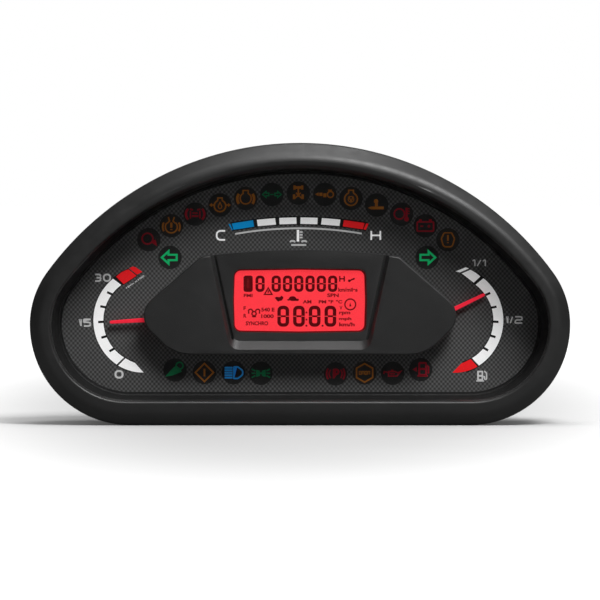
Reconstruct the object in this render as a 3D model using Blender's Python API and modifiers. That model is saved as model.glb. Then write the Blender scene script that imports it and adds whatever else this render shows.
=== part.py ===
"""Half-round dashboard instrument cluster with two needle gauges, telltales and a display.

Run with: blender --background --python part.py
Metres, +Z up. The front faces -Y, the flat bottom stands on Z = 0 and X = 0 is the plane of symmetry.
"""

import math

import bmesh
import bpy
from mathutils import Vector

# Driving dimensions: the outline of the bezel, then the opening that the lens shows through.
# An outline is (half width, top, bottom): see nested_outline.
BEZEL = (0.1400, 0.1460, 0.0000)
OPENING = (0.1293, 0.1337, 0.0125)
DIAL_VIEW = (0.1240, 0.1300, 0.0165)
STACK = (0.1280, 0.1332, 0.0132)
TUB = (0.1270, 0.1330, 0.0130)
WAIST_HEIGHT = 0.052
DOME_CENTRE_X = 0.094

# Depth stations, front to back
BEZEL_FRONT = -0.0400
BEZEL_EDGE = -0.0300
LIP_BACK = -0.0346
SKIRT_BACK = 0.0080
LENS = (-0.0343, -0.0323)
LENS_GASKET = (-0.0320, -0.0310)
SURROUND_FRONT = -0.0307
SURROUND_BACK = -0.0146
DIAL = (-0.0143, -0.0135)
LIGHT_BOX = (-0.0132, -0.0030)
BOARD = (-0.0026, -0.0010)
BOARD_REAR_PARTS = -0.0007
HOUSING_GASKET = (0.0083, 0.0093)
FLANGE = (0.0096, 0.0120)
TUB_BACK = 0.0280
MOUNT_FACE = 0.0300
REAR_END = 0.0400

WALL = 0.0024
SKIRT_WALL = 0.0030
GAP = 0.0003
RUNNING_GAP = 0.0001

# Centre pod and display
POD_FRONT = -0.0250
POD_FOOT = -0.0146
POD_FLOOR = -0.0208
POD_FLOOR_WALL = 0.0014
POD_SLOT_FRONT = -0.0188
WINDOW = (0.0349, 0.0476, 0.0812)
GLASS = (0.0385, 0.0445, 0.0843)
HOLDER = (0.0400, 0.0430, 0.0858)

# Gauges
PIVOT_X = 0.0700
PIVOT_Z = 0.0547
SCALE_CENTRE = (0.0794, 0.0531)
SCALE_RADII = (0.0227, 0.0281)
POINTER_LENGTH = 0.0290
POINTER_DEPTH = (-0.0176, -0.0165)
TACH_REST_DEG = 183.7
FUEL_REST_DEG = 26.0

# Gear train of a gauge's stepper motor
MODULE = 0.0004
OUTPUT_TEETH = 40
IDLER_TEETH = 36
PINION_TEETH = 8
IDLER_REACH = MODULE * (OUTPUT_TEETH + PINION_TEETH) / 2
ROTOR_REACH = IDLER_REACH + MODULE * (IDLER_TEETH + PINION_TEETH) / 2
SHAFT_RADIUS = 0.00075
ARBOR_RADIUS = 0.0006
MOTOR_FLOOR = 0.0004
MOTOR_LID = (0.0105, 0.0115)

# Telltales: thirteen on an arc, two turn arrows, four at the bottom on each side
TELLTALE_ARC_RADIUS = 0.137
TELLTALE_ARC_CENTRE_Z = -0.017
TELLTALE_PITCH_DEG = 5.77
TELLTALE_COUNT = 13
TELLTALE_WELL = 0.0046
TURN_ARROW = (0.0670, 0.0863)
BOTTOM_TELLTALES_LEFT = [(-0.0647, 0.0284), (-0.0495, 0.0265), (-0.0344, 0.0263), (-0.0201, 0.0265)]
BOTTOM_TELLTALES_RIGHT = [(0.0188, 0.0263), (0.0337, 0.0263), (0.0483, 0.0265), (0.0634, 0.0282)]

# Fasteners
HOUSING_SCREW_LINE = (0.1332, 0.1387, 0.0074)
HOUSING_SCREW_PLACES = [0.04, 0.25, 0.42]
BOSS_RADIUS = 0.0044
SCREW_RADIUS = 0.0015
BOARD_SCREWS = [(-0.098, 0.088), (0.098, 0.088), (-0.104, 0.026), (0.104, 0.026)]
MOUNTS = [(-0.092, 0.034), (0.092, 0.034), (-0.072, 0.100), (0.072, 0.100)]
CONNECTORS = {"connector_left": -0.026, "connector_right": 0.026}
CONNECTOR_Z = 0.060
CONNECTOR_SIZE = (0.0360, 0.0170)
VENT = (0.0, 0.106)

PARTS = "instrument_cluster"
CUTTERS = "cutters"


# Scene and materials


def clear_scene():
    for thing in list(bpy.data.objects):
        bpy.data.objects.remove(thing, do_unlink=True)
    for name in (PARTS, CUTTERS):
        collection = bpy.data.collections.new(name)
        bpy.context.scene.collection.children.link(collection)
        collections[name] = collection


collections = {}


def material(name, color, roughness=0.5, metallic=0.0, alpha=1.0):
    """Returns the named Principled material, made on first use."""
    found = bpy.data.materials.get(name)
    if found:
        return found
    made = bpy.data.materials.new(name)
    made.use_nodes = True
    shader = made.node_tree.nodes["Principled BSDF"]
    shader.inputs["Base Color"].default_value = (*color, 1.0)
    shader.inputs["Roughness"].default_value = roughness
    shader.inputs["Metallic"].default_value = metallic
    shader.inputs["Alpha"].default_value = alpha
    made.diffuse_color = (*color, alpha)
    return made


def black_plastic():
    return material("black_plastic", (0.035, 0.035, 0.037), 0.55)


def white_plastic():
    return material("white_plastic", (0.80, 0.80, 0.78), 0.6)


def clear_plastic():
    return material("clear_plastic", (0.90, 0.93, 0.95), 0.08, alpha=0.2)


def rubber():
    return material("rubber", (0.02, 0.02, 0.02), 0.85)


def steel():
    return material("steel", (0.62, 0.62, 0.64), 0.3, 1.0)


def brass():
    return material("brass", (0.78, 0.57, 0.23), 0.35, 1.0)


def copper():
    return material("copper", (0.72, 0.33, 0.16), 0.4, 1.0)


def gear_plastic():
    return material("gear_plastic", (0.85, 0.84, 0.78), 0.5)


def place(name, mesh, surface, role=PARTS):
    """Makes an object from a mesh, in the parts or in the cutters."""
    thing = bpy.data.objects.new(name, mesh)
    collections[role].objects.link(thing)
    if surface:
        mesh.materials.append(surface)
    if role == CUTTERS:
        thing.hide_render = True
        thing.display_type = "WIRE"
    return thing


def smooth(thing, angle_deg=35):
    thing.data.shade_smooth()
    thing.data.set_sharp_from_angle(angle=math.radians(angle_deg))
    return thing


# Outlines, as lists of (x, z) points, counter-clockwise as seen from the front


def arc(centre, radius, start_deg, end_deg, steps):
    """Points along an arc, both ends included."""
    points = []
    for step in range(steps + 1):
        angle = math.radians(start_deg + (end_deg - start_deg) * step / steps)
        points.append((centre[0] + radius * math.cos(angle), centre[1] + radius * math.sin(angle)))
    return points


def circle(centre, radius, steps):
    return arc(centre, radius, 0, 360, steps)[:-1]


def nested_outline(size, shrink=0.0):
    """The cluster's outline: a flat bottom, two round ends and a dome, all tangent.

    size is (half width, top, bottom), and shrink moves all three inwards.
    """
    half_width = size[0] - shrink
    top = size[1] - shrink
    bottom = size[2] + shrink
    rise = top - WAIST_HEIGHT
    upper = half_width - DOME_CENTRE_X
    dome = (DOME_CENTRE_X**2 + rise**2 - upper**2) / (2 * (rise - upper))
    dome_z = top - dome
    lower = WAIST_HEIGHT - bottom
    meet_deg = math.degrees(math.atan2(WAIST_HEIGHT - dome_z, DOME_CENTRE_X))
    right = arc((half_width - lower, WAIST_HEIGHT), lower, -90, 0, 8)
    right += arc((DOME_CENTRE_X, WAIST_HEIGHT), upper, 0, meet_deg, 5)[1:]
    right += arc((0, dome_z), dome, meet_deg, 90, 9)[1:]
    left = [(-x, z) for x, z in reversed(right[:-1])]
    return right + left


def rounded(corners, steps=4):
    """A polygon with an arc at each corner. A corner is (x, z, radius)."""
    points = []
    count = len(corners)
    for index, (x, z, radius) in enumerate(corners):
        here = Vector((x, z))
        before = (Vector(corners[index - 1][:2]) - here).normalized()
        after = (Vector(corners[(index + 1) % count][:2]) - here).normalized()
        half = before.angle(after) / 2
        middle = here + (before + after).normalized() * radius / math.sin(half)
        first = here + before * radius / math.tan(half) - middle
        turn = math.pi - 2 * half
        for step in range(steps + 1):
            angle = turn * step / steps
            spot = middle + Vector(
                (
                    first.x * math.cos(angle) - first.y * math.sin(angle),
                    first.x * math.sin(angle) + first.y * math.cos(angle),
                )
            )
            points.append((spot.x, spot.y))
    return points


def box_outline(low_x, high_x, low_z, high_z, radius, steps=3):
    corners = [(low_x, low_z), (high_x, low_z), (high_x, high_z), (low_x, high_z)]
    return rounded([(x, z, radius) for x, z in corners], steps)


def mirrored(points):
    """The same outline on the other side of X = 0, still counter-clockwise."""
    return [(-x, z) for x, z in reversed(points)]


def inset(points, distance):
    """An outline moved inwards along each corner's own normal."""
    moved = []
    count = len(points)
    for index in range(count):
        here = Vector(points[index])
        before = (here - Vector(points[index - 1])).normalized()
        after = (Vector(points[(index + 1) % count]) - here).normalized()
        inward_before = Vector((-before.y, before.x))
        inward_after = Vector((-after.y, after.x))
        along = (inward_before + inward_after).normalized()
        spot = here + along * distance / max(along.dot(inward_before), 0.5)
        moved.append((spot.x, spot.y))
    return moved


def pod_outline():
    """The pod seen from the front: an arched top, blunt ends and a flat bottom."""
    arch_radius = 0.373
    top = 0.0905
    half = [(0.0655, 0.0362, 0.022), (0.0863, 0.0569, 0.011), (0.0515, 0.0871, 0.005)]
    arch = []
    for x in (0.034, 0.017):
        arch.append((x, top - x**2 / (2 * arch_radius), 0.02))
    right = half + arch
    left = [(-x, z, radius) for x, z, radius in reversed(right)]
    return rounded(right + [(0.0, top, 0.02)] + left, 4)


def recess_outline(bottom, half_bottom):
    """The recess for the display: it widens upwards and runs out over the pod's top edge."""
    spread = 0.2114
    top = 0.100
    half_top = half_bottom + spread * (top - bottom)
    corners = [(-half_bottom, bottom, 0.006), (half_bottom, bottom, 0.006)]
    corners += [(half_top, top, 0.001), (-half_top, top, 0.001)]
    return rounded(corners, 4)


# Solids from outlines


def loft(name, sections, surface, ring=False, role=PARTS):
    """Skins a row of sections (outline, y). A ring joins the last to the first; else both ends are capped."""
    mesh = bpy.data.meshes.new(name)
    build = bmesh.new()
    rows = []
    for points, depth in sections:
        rows.append([build.verts.new((x, depth, z)) for x, z in points])
    pairs = list(zip(rows, rows[1:]))
    if ring:
        pairs.append((rows[-1], rows[0]))
    for one, other in pairs:
        count = len(one)
        for index in range(count):
            after = (index + 1) % count
            build.faces.new((one[index], one[after], other[after], other[index]))
    if not ring:
        build.faces.new(rows[0])
        build.faces.new(list(reversed(rows[-1])))
    bmesh.ops.recalc_face_normals(build, faces=build.faces)
    build.to_mesh(mesh)
    build.free()
    return place(name, mesh, surface, role)


def flat(name, outline, depths, surface, holes=(), role=PARTS):
    """A flat piece from a 2D curve, with its holes, between two depths."""
    curve = bpy.data.curves.new(name + "_outline", "CURVE")
    curve.dimensions = "2D"
    curve.fill_mode = "BOTH"
    curve.extrude = (depths[1] - depths[0]) / 2
    for points in [outline, *holes]:
        line = curve.splines.new("POLY")
        line.points.add(len(points) - 1)
        for point, (x, z) in zip(line.points, points):
            point.co = (x, z, 0.0, 1.0)
        line.use_cyclic_u = True
    guide = bpy.data.objects.new(name + "_guide", curve)
    collections[role].objects.link(guide)
    guide.rotation_euler = (math.pi / 2, 0.0, 0.0)
    guide.location.y = (depths[0] + depths[1]) / 2
    bpy.context.view_layer.update()
    mesh = bpy.data.meshes.new_from_object(guide.evaluated_get(bpy.context.evaluated_depsgraph_get()))
    mesh.transform(guide.matrix_world)
    bpy.data.objects.remove(guide, do_unlink=True)
    build = bmesh.new()
    build.from_mesh(mesh)
    bmesh.ops.remove_doubles(build, verts=build.verts, dist=0.000005)
    bmesh.ops.recalc_face_normals(build, faces=build.faces)
    build.to_mesh(mesh)
    build.free()
    mesh.name = name
    mesh.materials.clear()
    return place(name, mesh, surface, role)


def turned(name, profile, centre, surface, steps=16, role=PARTS):
    """A turned piece on an axis along Y. The profile is (radius, depth), front to back."""
    mesh = bpy.data.meshes.new(name)
    build = bmesh.new()
    line = [build.verts.new((radius, 0.0, -depth)) for radius, depth in profile]
    for one, other in zip(line, line[1:]):
        build.edges.new((one, other))
    if profile[0][0] > 0:
        build.edges.new((line[-1], line[0]))
    build.to_mesh(mesh)
    build.free()
    thing = place(name, mesh, surface, role)
    thing.rotation_euler = (math.pi / 2, 0.0, 0.0)
    thing.location = (centre[0], 0.0, centre[1])
    spin = thing.modifiers.new("Screw", "SCREW")
    spin.steps = steps
    spin.render_steps = steps
    spin.use_merge_vertices = True
    spin.merge_threshold = 0.00001
    spin.use_smooth_shade = False
    return thing


def pin(name, centre, radius, depths, surface=None, steps=10, role=CUTTERS):
    """A round bar along Y."""
    bpy.ops.mesh.primitive_cylinder_add(vertices=steps, radius=radius, depth=depths[1] - depths[0])
    thing = bpy.context.object
    mesh = thing.data
    bpy.data.objects.remove(thing, do_unlink=True)
    mesh.name = name
    made = place(name, mesh, surface, role)
    made.rotation_euler = (math.pi / 2, 0.0, 0.0)
    made.location = (centre[0], (depths[0] + depths[1]) / 2, centre[1])
    return made


def block(name, low, high, surface=None, role=CUTTERS):
    """A box between two corners."""
    bpy.ops.mesh.primitive_cube_add(size=1.0)
    thing = bpy.context.object
    mesh = thing.data
    bpy.data.objects.remove(thing, do_unlink=True)
    mesh.name = name
    for vertex in mesh.vertices:
        for axis in range(3):
            middle = (low[axis] + high[axis]) / 2
            vertex.co[axis] = middle + vertex.co[axis] * (high[axis] - low[axis])
    return place(name, mesh, surface, role)


def combine(thing, others, operation):
    """Adds a Boolean modifier for each of the other solids."""
    for other in others:
        modifier = thing.modifiers.new(other.name, "BOOLEAN")
        modifier.operation = operation
        modifier.object = other
    return thing


def cut(thing, *others):
    return combine(thing, others, "DIFFERENCE")


def join(thing, *others):
    return combine(thing, others, "UNION")


def set_origin(thing, spot):
    """Moves an object's origin without moving its shape."""
    bpy.context.view_layer.update()
    shift = thing.matrix_world.inverted() @ Vector(spot)
    for vertex in thing.data.vertices:
        vertex.co -= shift
    thing.location = spot


# Front: bezel, lens, gasket, surround


def housing_screw_points():
    """Six points around the cluster, where the housing is screwed to the bezel."""
    line = nested_outline(HOUSING_SCREW_LINE)
    half = line[: len(line) // 2 + 1]
    right = [half[round(place_along * 2 * (len(half) - 1))] for place_along in HOUSING_SCREW_PLACES]
    return right + [(-x, z) for x, z in reversed(right)]


def between(share):
    """A size between the bezel's outline (0) and the opening (1)."""
    return tuple(outer + (inner - outer) * share for outer, inner in zip(BEZEL, OPENING))


def front_bezel():
    sections = [
        (nested_outline(BEZEL), SKIRT_BACK),
        (nested_outline(BEZEL), BEZEL_EDGE),
        (nested_outline(between(0.06)), BEZEL_EDGE - 0.0016),
        (nested_outline(between(0.60)), BEZEL_FRONT + 0.0016),
        (nested_outline(between(0.76)), BEZEL_FRONT + 0.0003),
        (nested_outline(between(0.84)), BEZEL_FRONT),
        (nested_outline(between(0.95)), BEZEL_FRONT + 0.0002),
        (nested_outline(OPENING), BEZEL_FRONT + 0.0012),
        (nested_outline(OPENING, 0.0003), LIP_BACK),
        (nested_outline(between(0.74)), LIP_BACK),
        (nested_outline(BEZEL, SKIRT_WALL), -0.0285),
        (nested_outline(BEZEL, SKIRT_WALL), SKIRT_BACK),
    ]
    bezel = loft("front_bezel", sections, black_plastic(), ring=True)
    for index, point in enumerate(housing_screw_points(), 1):
        boss = pin(f"bezel_boss_{index}", point, BOSS_RADIUS, (-0.0270, SKIRT_BACK - 0.0002))
        join(bezel, boss)
    for index, point in enumerate(housing_screw_points(), 1):
        depths = (-0.0050, SKIRT_BACK + 0.001)
        pilot = pin(f"bezel_pilot_{index}", point, SCREW_RADIUS + GAP, depths, steps=10)
        cut(bezel, pilot)
    return smooth(bezel)


def front_lens():
    outline = nested_outline(between(0.79))
    return smooth(loft("front_lens", [(outline, LENS[0]), (outline, LENS[1])], clear_plastic()))


def ring_band(name, outer, inner, depths, surface):
    """A flat ring between two nested outlines."""
    sections = [(outer, depths[0]), (outer, depths[1]), (inner, depths[1]), (inner, depths[0])]
    return loft(name, sections, surface, ring=True)


def lens_gasket():
    outer = nested_outline(OPENING, -0.0019)
    inner = nested_outline(OPENING, 0.0003)
    return ring_band("lens_gasket", outer, inner, LENS_GASKET, rubber())


def dial_surround():
    """The dark funnel wall from the lens down to the dial."""
    sections = [
        (nested_outline(OPENING, 0.0006), SURROUND_FRONT),
        (nested_outline(DIAL_VIEW), SURROUND_BACK),
        (nested_outline(STACK), SURROUND_BACK),
        (nested_outline(STACK), SURROUND_BACK - 0.0016),
        (nested_outline(DIAL_VIEW, -0.0019), SURROUND_BACK - 0.0016),
        (nested_outline(STACK, -0.0004), SURROUND_FRONT + 0.0030),
        (nested_outline(OPENING, -0.0015), SURROUND_FRONT + 0.0012),
        (nested_outline(OPENING, -0.0015), SURROUND_FRONT),
    ]
    return smooth(loft("dial_surround", sections, black_plastic(), ring=True))


# Dial, pod and display


def pivots():
    return [(-PIVOT_X, PIVOT_Z), (PIVOT_X, PIVOT_Z)]


def display_box(size, grow=0.0, radius=0.001):
    half_width, low, high = size
    return box_outline(-half_width - grow, half_width + grow, low - grow, high + grow, radius)


def dial_face():
    holes = [circle(spot, 0.0025, 12) for spot in pivots()]
    holes.append(display_box(HOLDER, GAP))
    return flat("dial_face", nested_outline(STACK), DIAL, black_plastic(), holes)


def centre_pod():
    outline = pod_outline()
    sections = [
        (outline, POD_FOOT),
        (outline, POD_FRONT + 0.0022),
        (inset(outline, 0.0005), POD_FRONT + 0.0009),
        (inset(outline, 0.0013), POD_FRONT + 0.0002),
        (inset(outline, 0.0021), POD_FRONT),
    ]
    pod = loft("centre_pod", sections, black_plastic())
    wall = inset(outline, 0.0016)
    hollow = flat("pod_hollow", wall, (POD_FLOOR + POD_FLOOR_WALL, POD_FOOT + 0.001), None, role=CUTTERS)
    recess_sections = [
        (recess_outline(0.0378, 0.0360), POD_FRONT - 0.001),
        (recess_outline(0.0432, 0.0343), POD_FLOOR),
    ]
    recess = loft("pod_recess", recess_sections, None, role=CUTTERS)
    window_depths = (POD_FLOOR - 0.001, POD_FLOOR + 0.002)
    window = flat("pod_window", display_box(WINDOW, radius=0.003), window_depths, None, role=CUTTERS)
    cut(pod, hollow, recess, window)
    for side, name in ((-1, "left"), (1, "right")):
        lobe_x = sorted((side * 0.0480, side * 0.0765))
        lobe = block(f"pod_lobe_{name}", (lobe_x[0], POD_FRONT + 0.0018, 0.0465), (lobe_x[1], -0.019, 0.0625))
        slot_x = sorted((side * 0.0600, side * 0.0900))
        slot = block(f"pod_slot_{name}", (slot_x[0], POD_SLOT_FRONT, 0.030), (slot_x[1], -0.0140, 0.086))
        cut(pod, lobe, slot)
    return smooth(pod)


def display():
    window_outline = display_box(WINDOW, -GAP, 0.0028)
    flat("display_window", window_outline, (POD_FLOOR, POD_FLOOR + 0.0011), clear_plastic())
    lcd = material("display_glass", (0.90, 0.05, 0.07), 0.25)
    flat("display_glass", display_box(GLASS), (-0.0191, -0.0169), lcd)
    guide = material("light_guide", (0.85, 0.88, 0.90), 0.2, alpha=0.5)
    flat("display_backlight", display_box(GLASS), (-0.0166, -0.0126), guide)
    depths = (-0.0188, BOARD[0] - GAP)
    frame = flat("display_holder", display_box(HOLDER), depths, white_plastic(), [display_box(GLASS, GAP)])
    rib_z = (GLASS[1] - 0.0008, GLASS[1] + 0.0030)
    ribs = []
    for index, low_z in enumerate((rib_z[0], GLASS[2] - 0.0030)):
        corner = (-HOLDER[0] + 0.0005, -0.0123, low_z)
        ribs.append(block(f"holder_rib_{index}", corner, (HOLDER[0] - 0.0005, -0.0113, low_z + 0.0038)))
    return join(frame, *ribs)


# Behind the dial: light box, light guides and board


def telltale_spots():
    """Centres of all the telltales."""
    spots = []
    for index in range(TELLTALE_COUNT):
        turn = math.radians(TELLTALE_PITCH_DEG * (index - (TELLTALE_COUNT - 1) / 2))
        x = TELLTALE_ARC_RADIUS * math.sin(turn)
        spots.append((x, TELLTALE_ARC_CENTRE_Z + TELLTALE_ARC_RADIUS * math.cos(turn)))
    spots += [(-TURN_ARROW[0], TURN_ARROW[1]), TURN_ARROW]
    return spots + BOTTOM_TELLTALES_LEFT + BOTTOM_TELLTALES_RIGHT


def scale_band(side, grow=0.0):
    """The crescent of a gauge's scale. side is -1 for the left one."""
    inner, outer = SCALE_RADII
    steps = 9
    centre = SCALE_CENTRE
    band = arc(centre, outer + grow, -78, 78, steps)
    band += arc(centre, inner - grow, 78, -78, steps)
    return band if side > 0 else mirrored(band)


def light_box():
    holes = [circle(spot, TELLTALE_WELL, 8) for spot in telltale_spots()]
    holes += [scale_band(-1, 0.0012), scale_band(1, 0.0012)]
    holes += [circle(spot, 0.0030, 12) for spot in pivots()]
    holes += [circle(spot, SCREW_RADIUS + GAP, 8) for spot in BOARD_SCREWS]
    holes.append(display_box(HOLDER, 0.0008))
    holes.append(box_outline(-0.0388, 0.0388, 0.0992, 0.1088, 0.002, 2))
    return flat("light_box", nested_outline(STACK), LIGHT_BOX, white_plastic(), holes)


def light_guides():
    guide = material("light_guide", (0.85, 0.88, 0.90), 0.2, alpha=0.5)
    depths = (LIGHT_BOX[0], LIGHT_BOX[0] + 0.0040)
    flat("tach_scale_guide", scale_band(-1, 0.0006), depths, guide)
    flat("fuel_scale_guide", scale_band(1, 0.0006), depths, guide)
    flat("coolant_bar_guide", box_outline(-0.0380, 0.0380, 0.1000, 0.1080, 0.0015, 2), depths, guide)


def main_board():
    holes = [circle(spot, 0.0026, 12) for spot in pivots()]
    holes += [circle(spot, SCREW_RADIUS + GAP, 8) for spot in BOARD_SCREWS]
    green = material("board_green", (0.03, 0.16, 0.07), 0.4)
    return flat("main_board", nested_outline(STACK), BOARD, green, holes)


def board_parts():
    chip = material("chip_black", (0.02, 0.02, 0.022), 0.45)
    processor = box_outline(-0.008, 0.008, 0.080, 0.096, 0.0004, 1)
    flat("microcontroller", processor, (BOARD_REAR_PARTS, 0.0009), chip)
    regulator = box_outline(0.060, 0.067, 0.098, 0.105, 0.0003, 1)
    flat("voltage_regulator", regulator, (BOARD_REAR_PARTS, 0.0022), chip)
    can = [(0.0, -0.0007), (0.0048, -0.0007), (0.0050, 0.0010), (0.0046, 0.0016)]
    can += [(0.0050, 0.0022), (0.0050, 0.0118), (0.0046, 0.0124), (0.0, 0.0124)]
    turned("smoothing_capacitor", can, (0.046, 0.100), material("capacitor_can", (0.6, 0.6, 0.62), 0.35, 1.0))
    cup = [(0.0, -0.0007), (0.0060, -0.0007), (0.0060, 0.0052), (0.0056, 0.0058)]
    cup += [(0.0014, 0.0058), (0.0012, 0.0048), (0.0, 0.0048)]
    turned("warning_buzzer", cup, (-0.046, 0.100), chip)


# Gauges: stepper motor, gear train and pointer


def gear_outline(centre, teeth, phase_deg, leaf=False):
    """Stub teeth at the module. phase_deg is one tooth's direction. A leaf has a small pinion's flanks."""
    pitch = MODULE * teeth / 2
    tip = pitch + 0.80 * MODULE
    root = pitch - 1.15 * MODULE
    step = 2 * math.pi / teeth
    pitch_half = 0.19 * step
    tip_half = pitch_half * (0.42 if leaf else 0.55)
    root_half = pitch_half * (0.90 if leaf else 1.45)
    points = []
    for tooth in range(teeth):
        middle = math.radians(phase_deg) + step * tooth
        corners = [(root, -root_half), (tip, -tip_half), (tip, tip_half), (root, root_half)]
        if leaf:
            corners.insert(1, (pitch, -pitch_half))
            corners.insert(4, (pitch, pitch_half))
        for radius, turn in corners:
            angle = middle + turn
            points.append((centre[0] + radius * math.cos(angle), centre[1] + radius * math.sin(angle)))
    return points


def gauge_motor(name, pivot):
    """One gauge's motor. Its gears run from the pivot towards the middle of the cluster."""
    inward = -1 if pivot[0] > 0 else 1
    facing_deg = 0 if inward > 0 else 180
    idler = (pivot[0] + inward * IDLER_REACH, pivot[1])
    rotor = (pivot[0] + inward * ROTOR_REACH, pivot[1])
    motor_case(name, pivot, idler, rotor, inward)
    motor_stator(name, pivot, rotor, inward)

    shaft_front = POINTER_DEPTH[0] + 0.0002
    teeth = gear_outline(pivot, OUTPUT_TEETH, facing_deg)
    gear = flat(f"{name}_output_gear", teeth, (0.0012, 0.0024), gear_plastic())
    shaft = pin(f"{name}_shaft", pivot, SHAFT_RADIUS, (shaft_front, 0.0109))
    join(gear, shaft)
    set_origin(gear, (pivot[0], 0.0, pivot[1]))

    # The pinion shows a gap to the output gear's tooth, and the idler wheel shows a tooth to the rotor.
    gap_deg = facing_deg + 180 + 180 / PINION_TEETH
    teeth = gear_outline(idler, IDLER_TEETH, facing_deg)
    wheel = flat(f"{name}_idler_gear", teeth, (0.0034, 0.0046), gear_plastic())
    leaves = gear_outline(idler, PINION_TEETH, gap_deg, leaf=True)
    pinion = flat(f"{name}_idler_pinion", leaves, (0.0009, 0.0036), None, role=CUTTERS)
    arbor = pin(f"{name}_idler_arbor", idler, ARBOR_RADIUS, (MOTOR_FLOOR - 0.0005, 0.0109))
    join(wheel, pinion, arbor)
    set_origin(wheel, (idler[0], 0.0, idler[1]))

    magnet = material("magnet", (0.12, 0.12, 0.13), 0.5, 0.4)
    drum = pin(f"{name}_rotor", rotor, 0.0034, (0.0052, 0.0090), magnet, steps=20, role=PARTS)
    leaves = gear_outline(rotor, PINION_TEETH, gap_deg, leaf=True)
    pinion = flat(f"{name}_rotor_pinion", leaves, (0.0030, 0.0054), None, role=CUTTERS)
    arbor = pin(f"{name}_rotor_arbor", rotor, ARBOR_RADIUS, (MOTOR_FLOOR - 0.0005, 0.0109))
    join(drum, pinion, arbor)


def motor_case(name, pivot, idler, rotor, inward):
    """A cup against the board, with bearing holes for the shaft and both arbors, and its lid."""
    ends = sorted((pivot[0] - inward * 0.0105, rotor[0] + inward * 0.0075))
    outline = box_outline(ends[0], ends[1], pivot[1] - 0.0105, pivot[1] + 0.0105, 0.005, 4)
    inner = inset(outline, 0.0010)
    sections = [
        (inner, MOTOR_FLOOR),
        (inner, MOTOR_LID[0] - GAP),
        (outline, MOTOR_LID[0] - GAP),
        (outline, BOARD_REAR_PARTS),
    ]
    case = loft(f"{name}_motor_case", sections, material("motor_case", (0.06, 0.06, 0.065), 0.5))
    nose = pin(f"{name}_case_nose", pivot, 0.0022, (-0.0034, 0.0), steps=16)
    bore = pin(f"{name}_case_bore", pivot, SHAFT_RADIUS + RUNNING_GAP, (-0.0040, 0.0010))
    join(case, nose)
    cut(case, bore)
    for spot, label in ((idler, "idler"), (rotor, "rotor")):
        depths = (MOTOR_FLOOR - 0.0007, MOTOR_FLOOR + 0.0010)
        cut(case, pin(f"{name}_{label}_socket", spot, ARBOR_RADIUS + RUNNING_GAP, depths))
    lid = flat(f"{name}_motor_lid", outline, MOTOR_LID, material("motor_lid", (0.09, 0.09, 0.10), 0.5))
    for spot, label in ((pivot, "shaft"), (idler, "idler"), (rotor, "rotor")):
        radius = SHAFT_RADIUS if label == "shaft" else ARBOR_RADIUS
        depths = (MOTOR_LID[0] - 0.0010, MOTOR_LID[0] + 0.0006)
        cut(lid, pin(f"{name}_{label}_lid_socket", spot, radius + RUNNING_GAP, depths))


def motor_stator(name, pivot, rotor, inward):
    """A fork of core steel around the magnet, with a coil on each of its two arms."""
    arm_z = 0.0066
    far = pivot[0] + inward * 0.0030
    low_x, high_x = sorted((far, rotor[0] + inward * 0.0060))
    body = box_outline(low_x, high_x, rotor[1] - arm_z - 0.0011, rotor[1] + arm_z + 0.0011, 0.0010, 2)
    core = flat(f"{name}_stator", body, (0.0064, 0.0076), steel())
    mouth_x = sorted((far - inward * 0.001, rotor[0] - inward * 0.0045))
    mouth_low = (mouth_x[0], 0.0060, rotor[1] - arm_z + 0.0011)
    mouth_high = (mouth_x[1], 0.0080, rotor[1] + arm_z - 0.0011)
    mouth = block(f"{name}_stator_mouth", mouth_low, mouth_high)
    round_gap = pin(f"{name}_stator_bore", rotor, 0.0040, (0.0060, 0.0080), steps=20)
    cut(core, mouth, round_gap)
    for index, sign in enumerate((-1, 1), 1):
        length = 0.0080
        profile = [(0.0016, -length / 2), (0.0023, -length / 2), (0.0023, length / 2), (0.0016, length / 2)]
        middle = (far + inward * 0.0052, pivot[1] + sign * arm_z)
        coil = turned(f"{name}_coil_{index}", profile, middle, copper(), steps=14)
        coil.rotation_euler = (0.0, math.pi / 2, 0.0)
        coil.location = (middle[0], 0.0070, middle[1])


def pointer(name, pivot, rest_deg):
    """A tapered bar on a round hub, pressed on the shaft, with a cap over the hub."""
    hub_radius = 0.0042
    base_half = 0.00105
    tip_half = 0.00070
    direction = math.radians(rest_deg)
    along = Vector((math.cos(direction), math.sin(direction)))
    across = Vector((-along.y, along.x))
    start = math.asin(base_half / hub_radius)
    points = []
    for spot in ((POINTER_LENGTH, -tip_half), (POINTER_LENGTH, tip_half)):
        points.append(along * spot[0] + across * spot[1])
    for step in range(13):
        angle = start + (2 * math.pi - 2 * start) * step / 12
        points.append((along * math.cos(angle) + across * math.sin(angle)) * hub_radius)
    outline = [(pivot[0] + spot.x, pivot[1] + spot.y) for spot in points]
    red = material("pointer_red", (0.75, 0.03, 0.06), 0.35)
    needle = flat(f"{name}_pointer", outline, POINTER_DEPTH, red)
    hub = pin(f"{name}_pointer_hub", pivot, 0.0022, (POINTER_DEPTH[1] - 0.0003, -0.0151))
    bore = pin(f"{name}_pointer_bore", pivot, SHAFT_RADIUS + GAP, (POINTER_DEPTH[0] - 0.001, -0.0145))
    join(needle, hub)
    cut(needle, bore)
    set_origin(needle, (pivot[0], 0.0, pivot[1]))
    cap_profile = [(0.0, -0.0196), (0.0030, -0.0196), (0.0044, -0.0190), (0.0048, -0.0179), (0.0, -0.0179)]
    turned(f"{name}_pointer_cap", cap_profile, pivot, black_plastic())


# Back: housing, connectors, vent, fasteners


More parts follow.
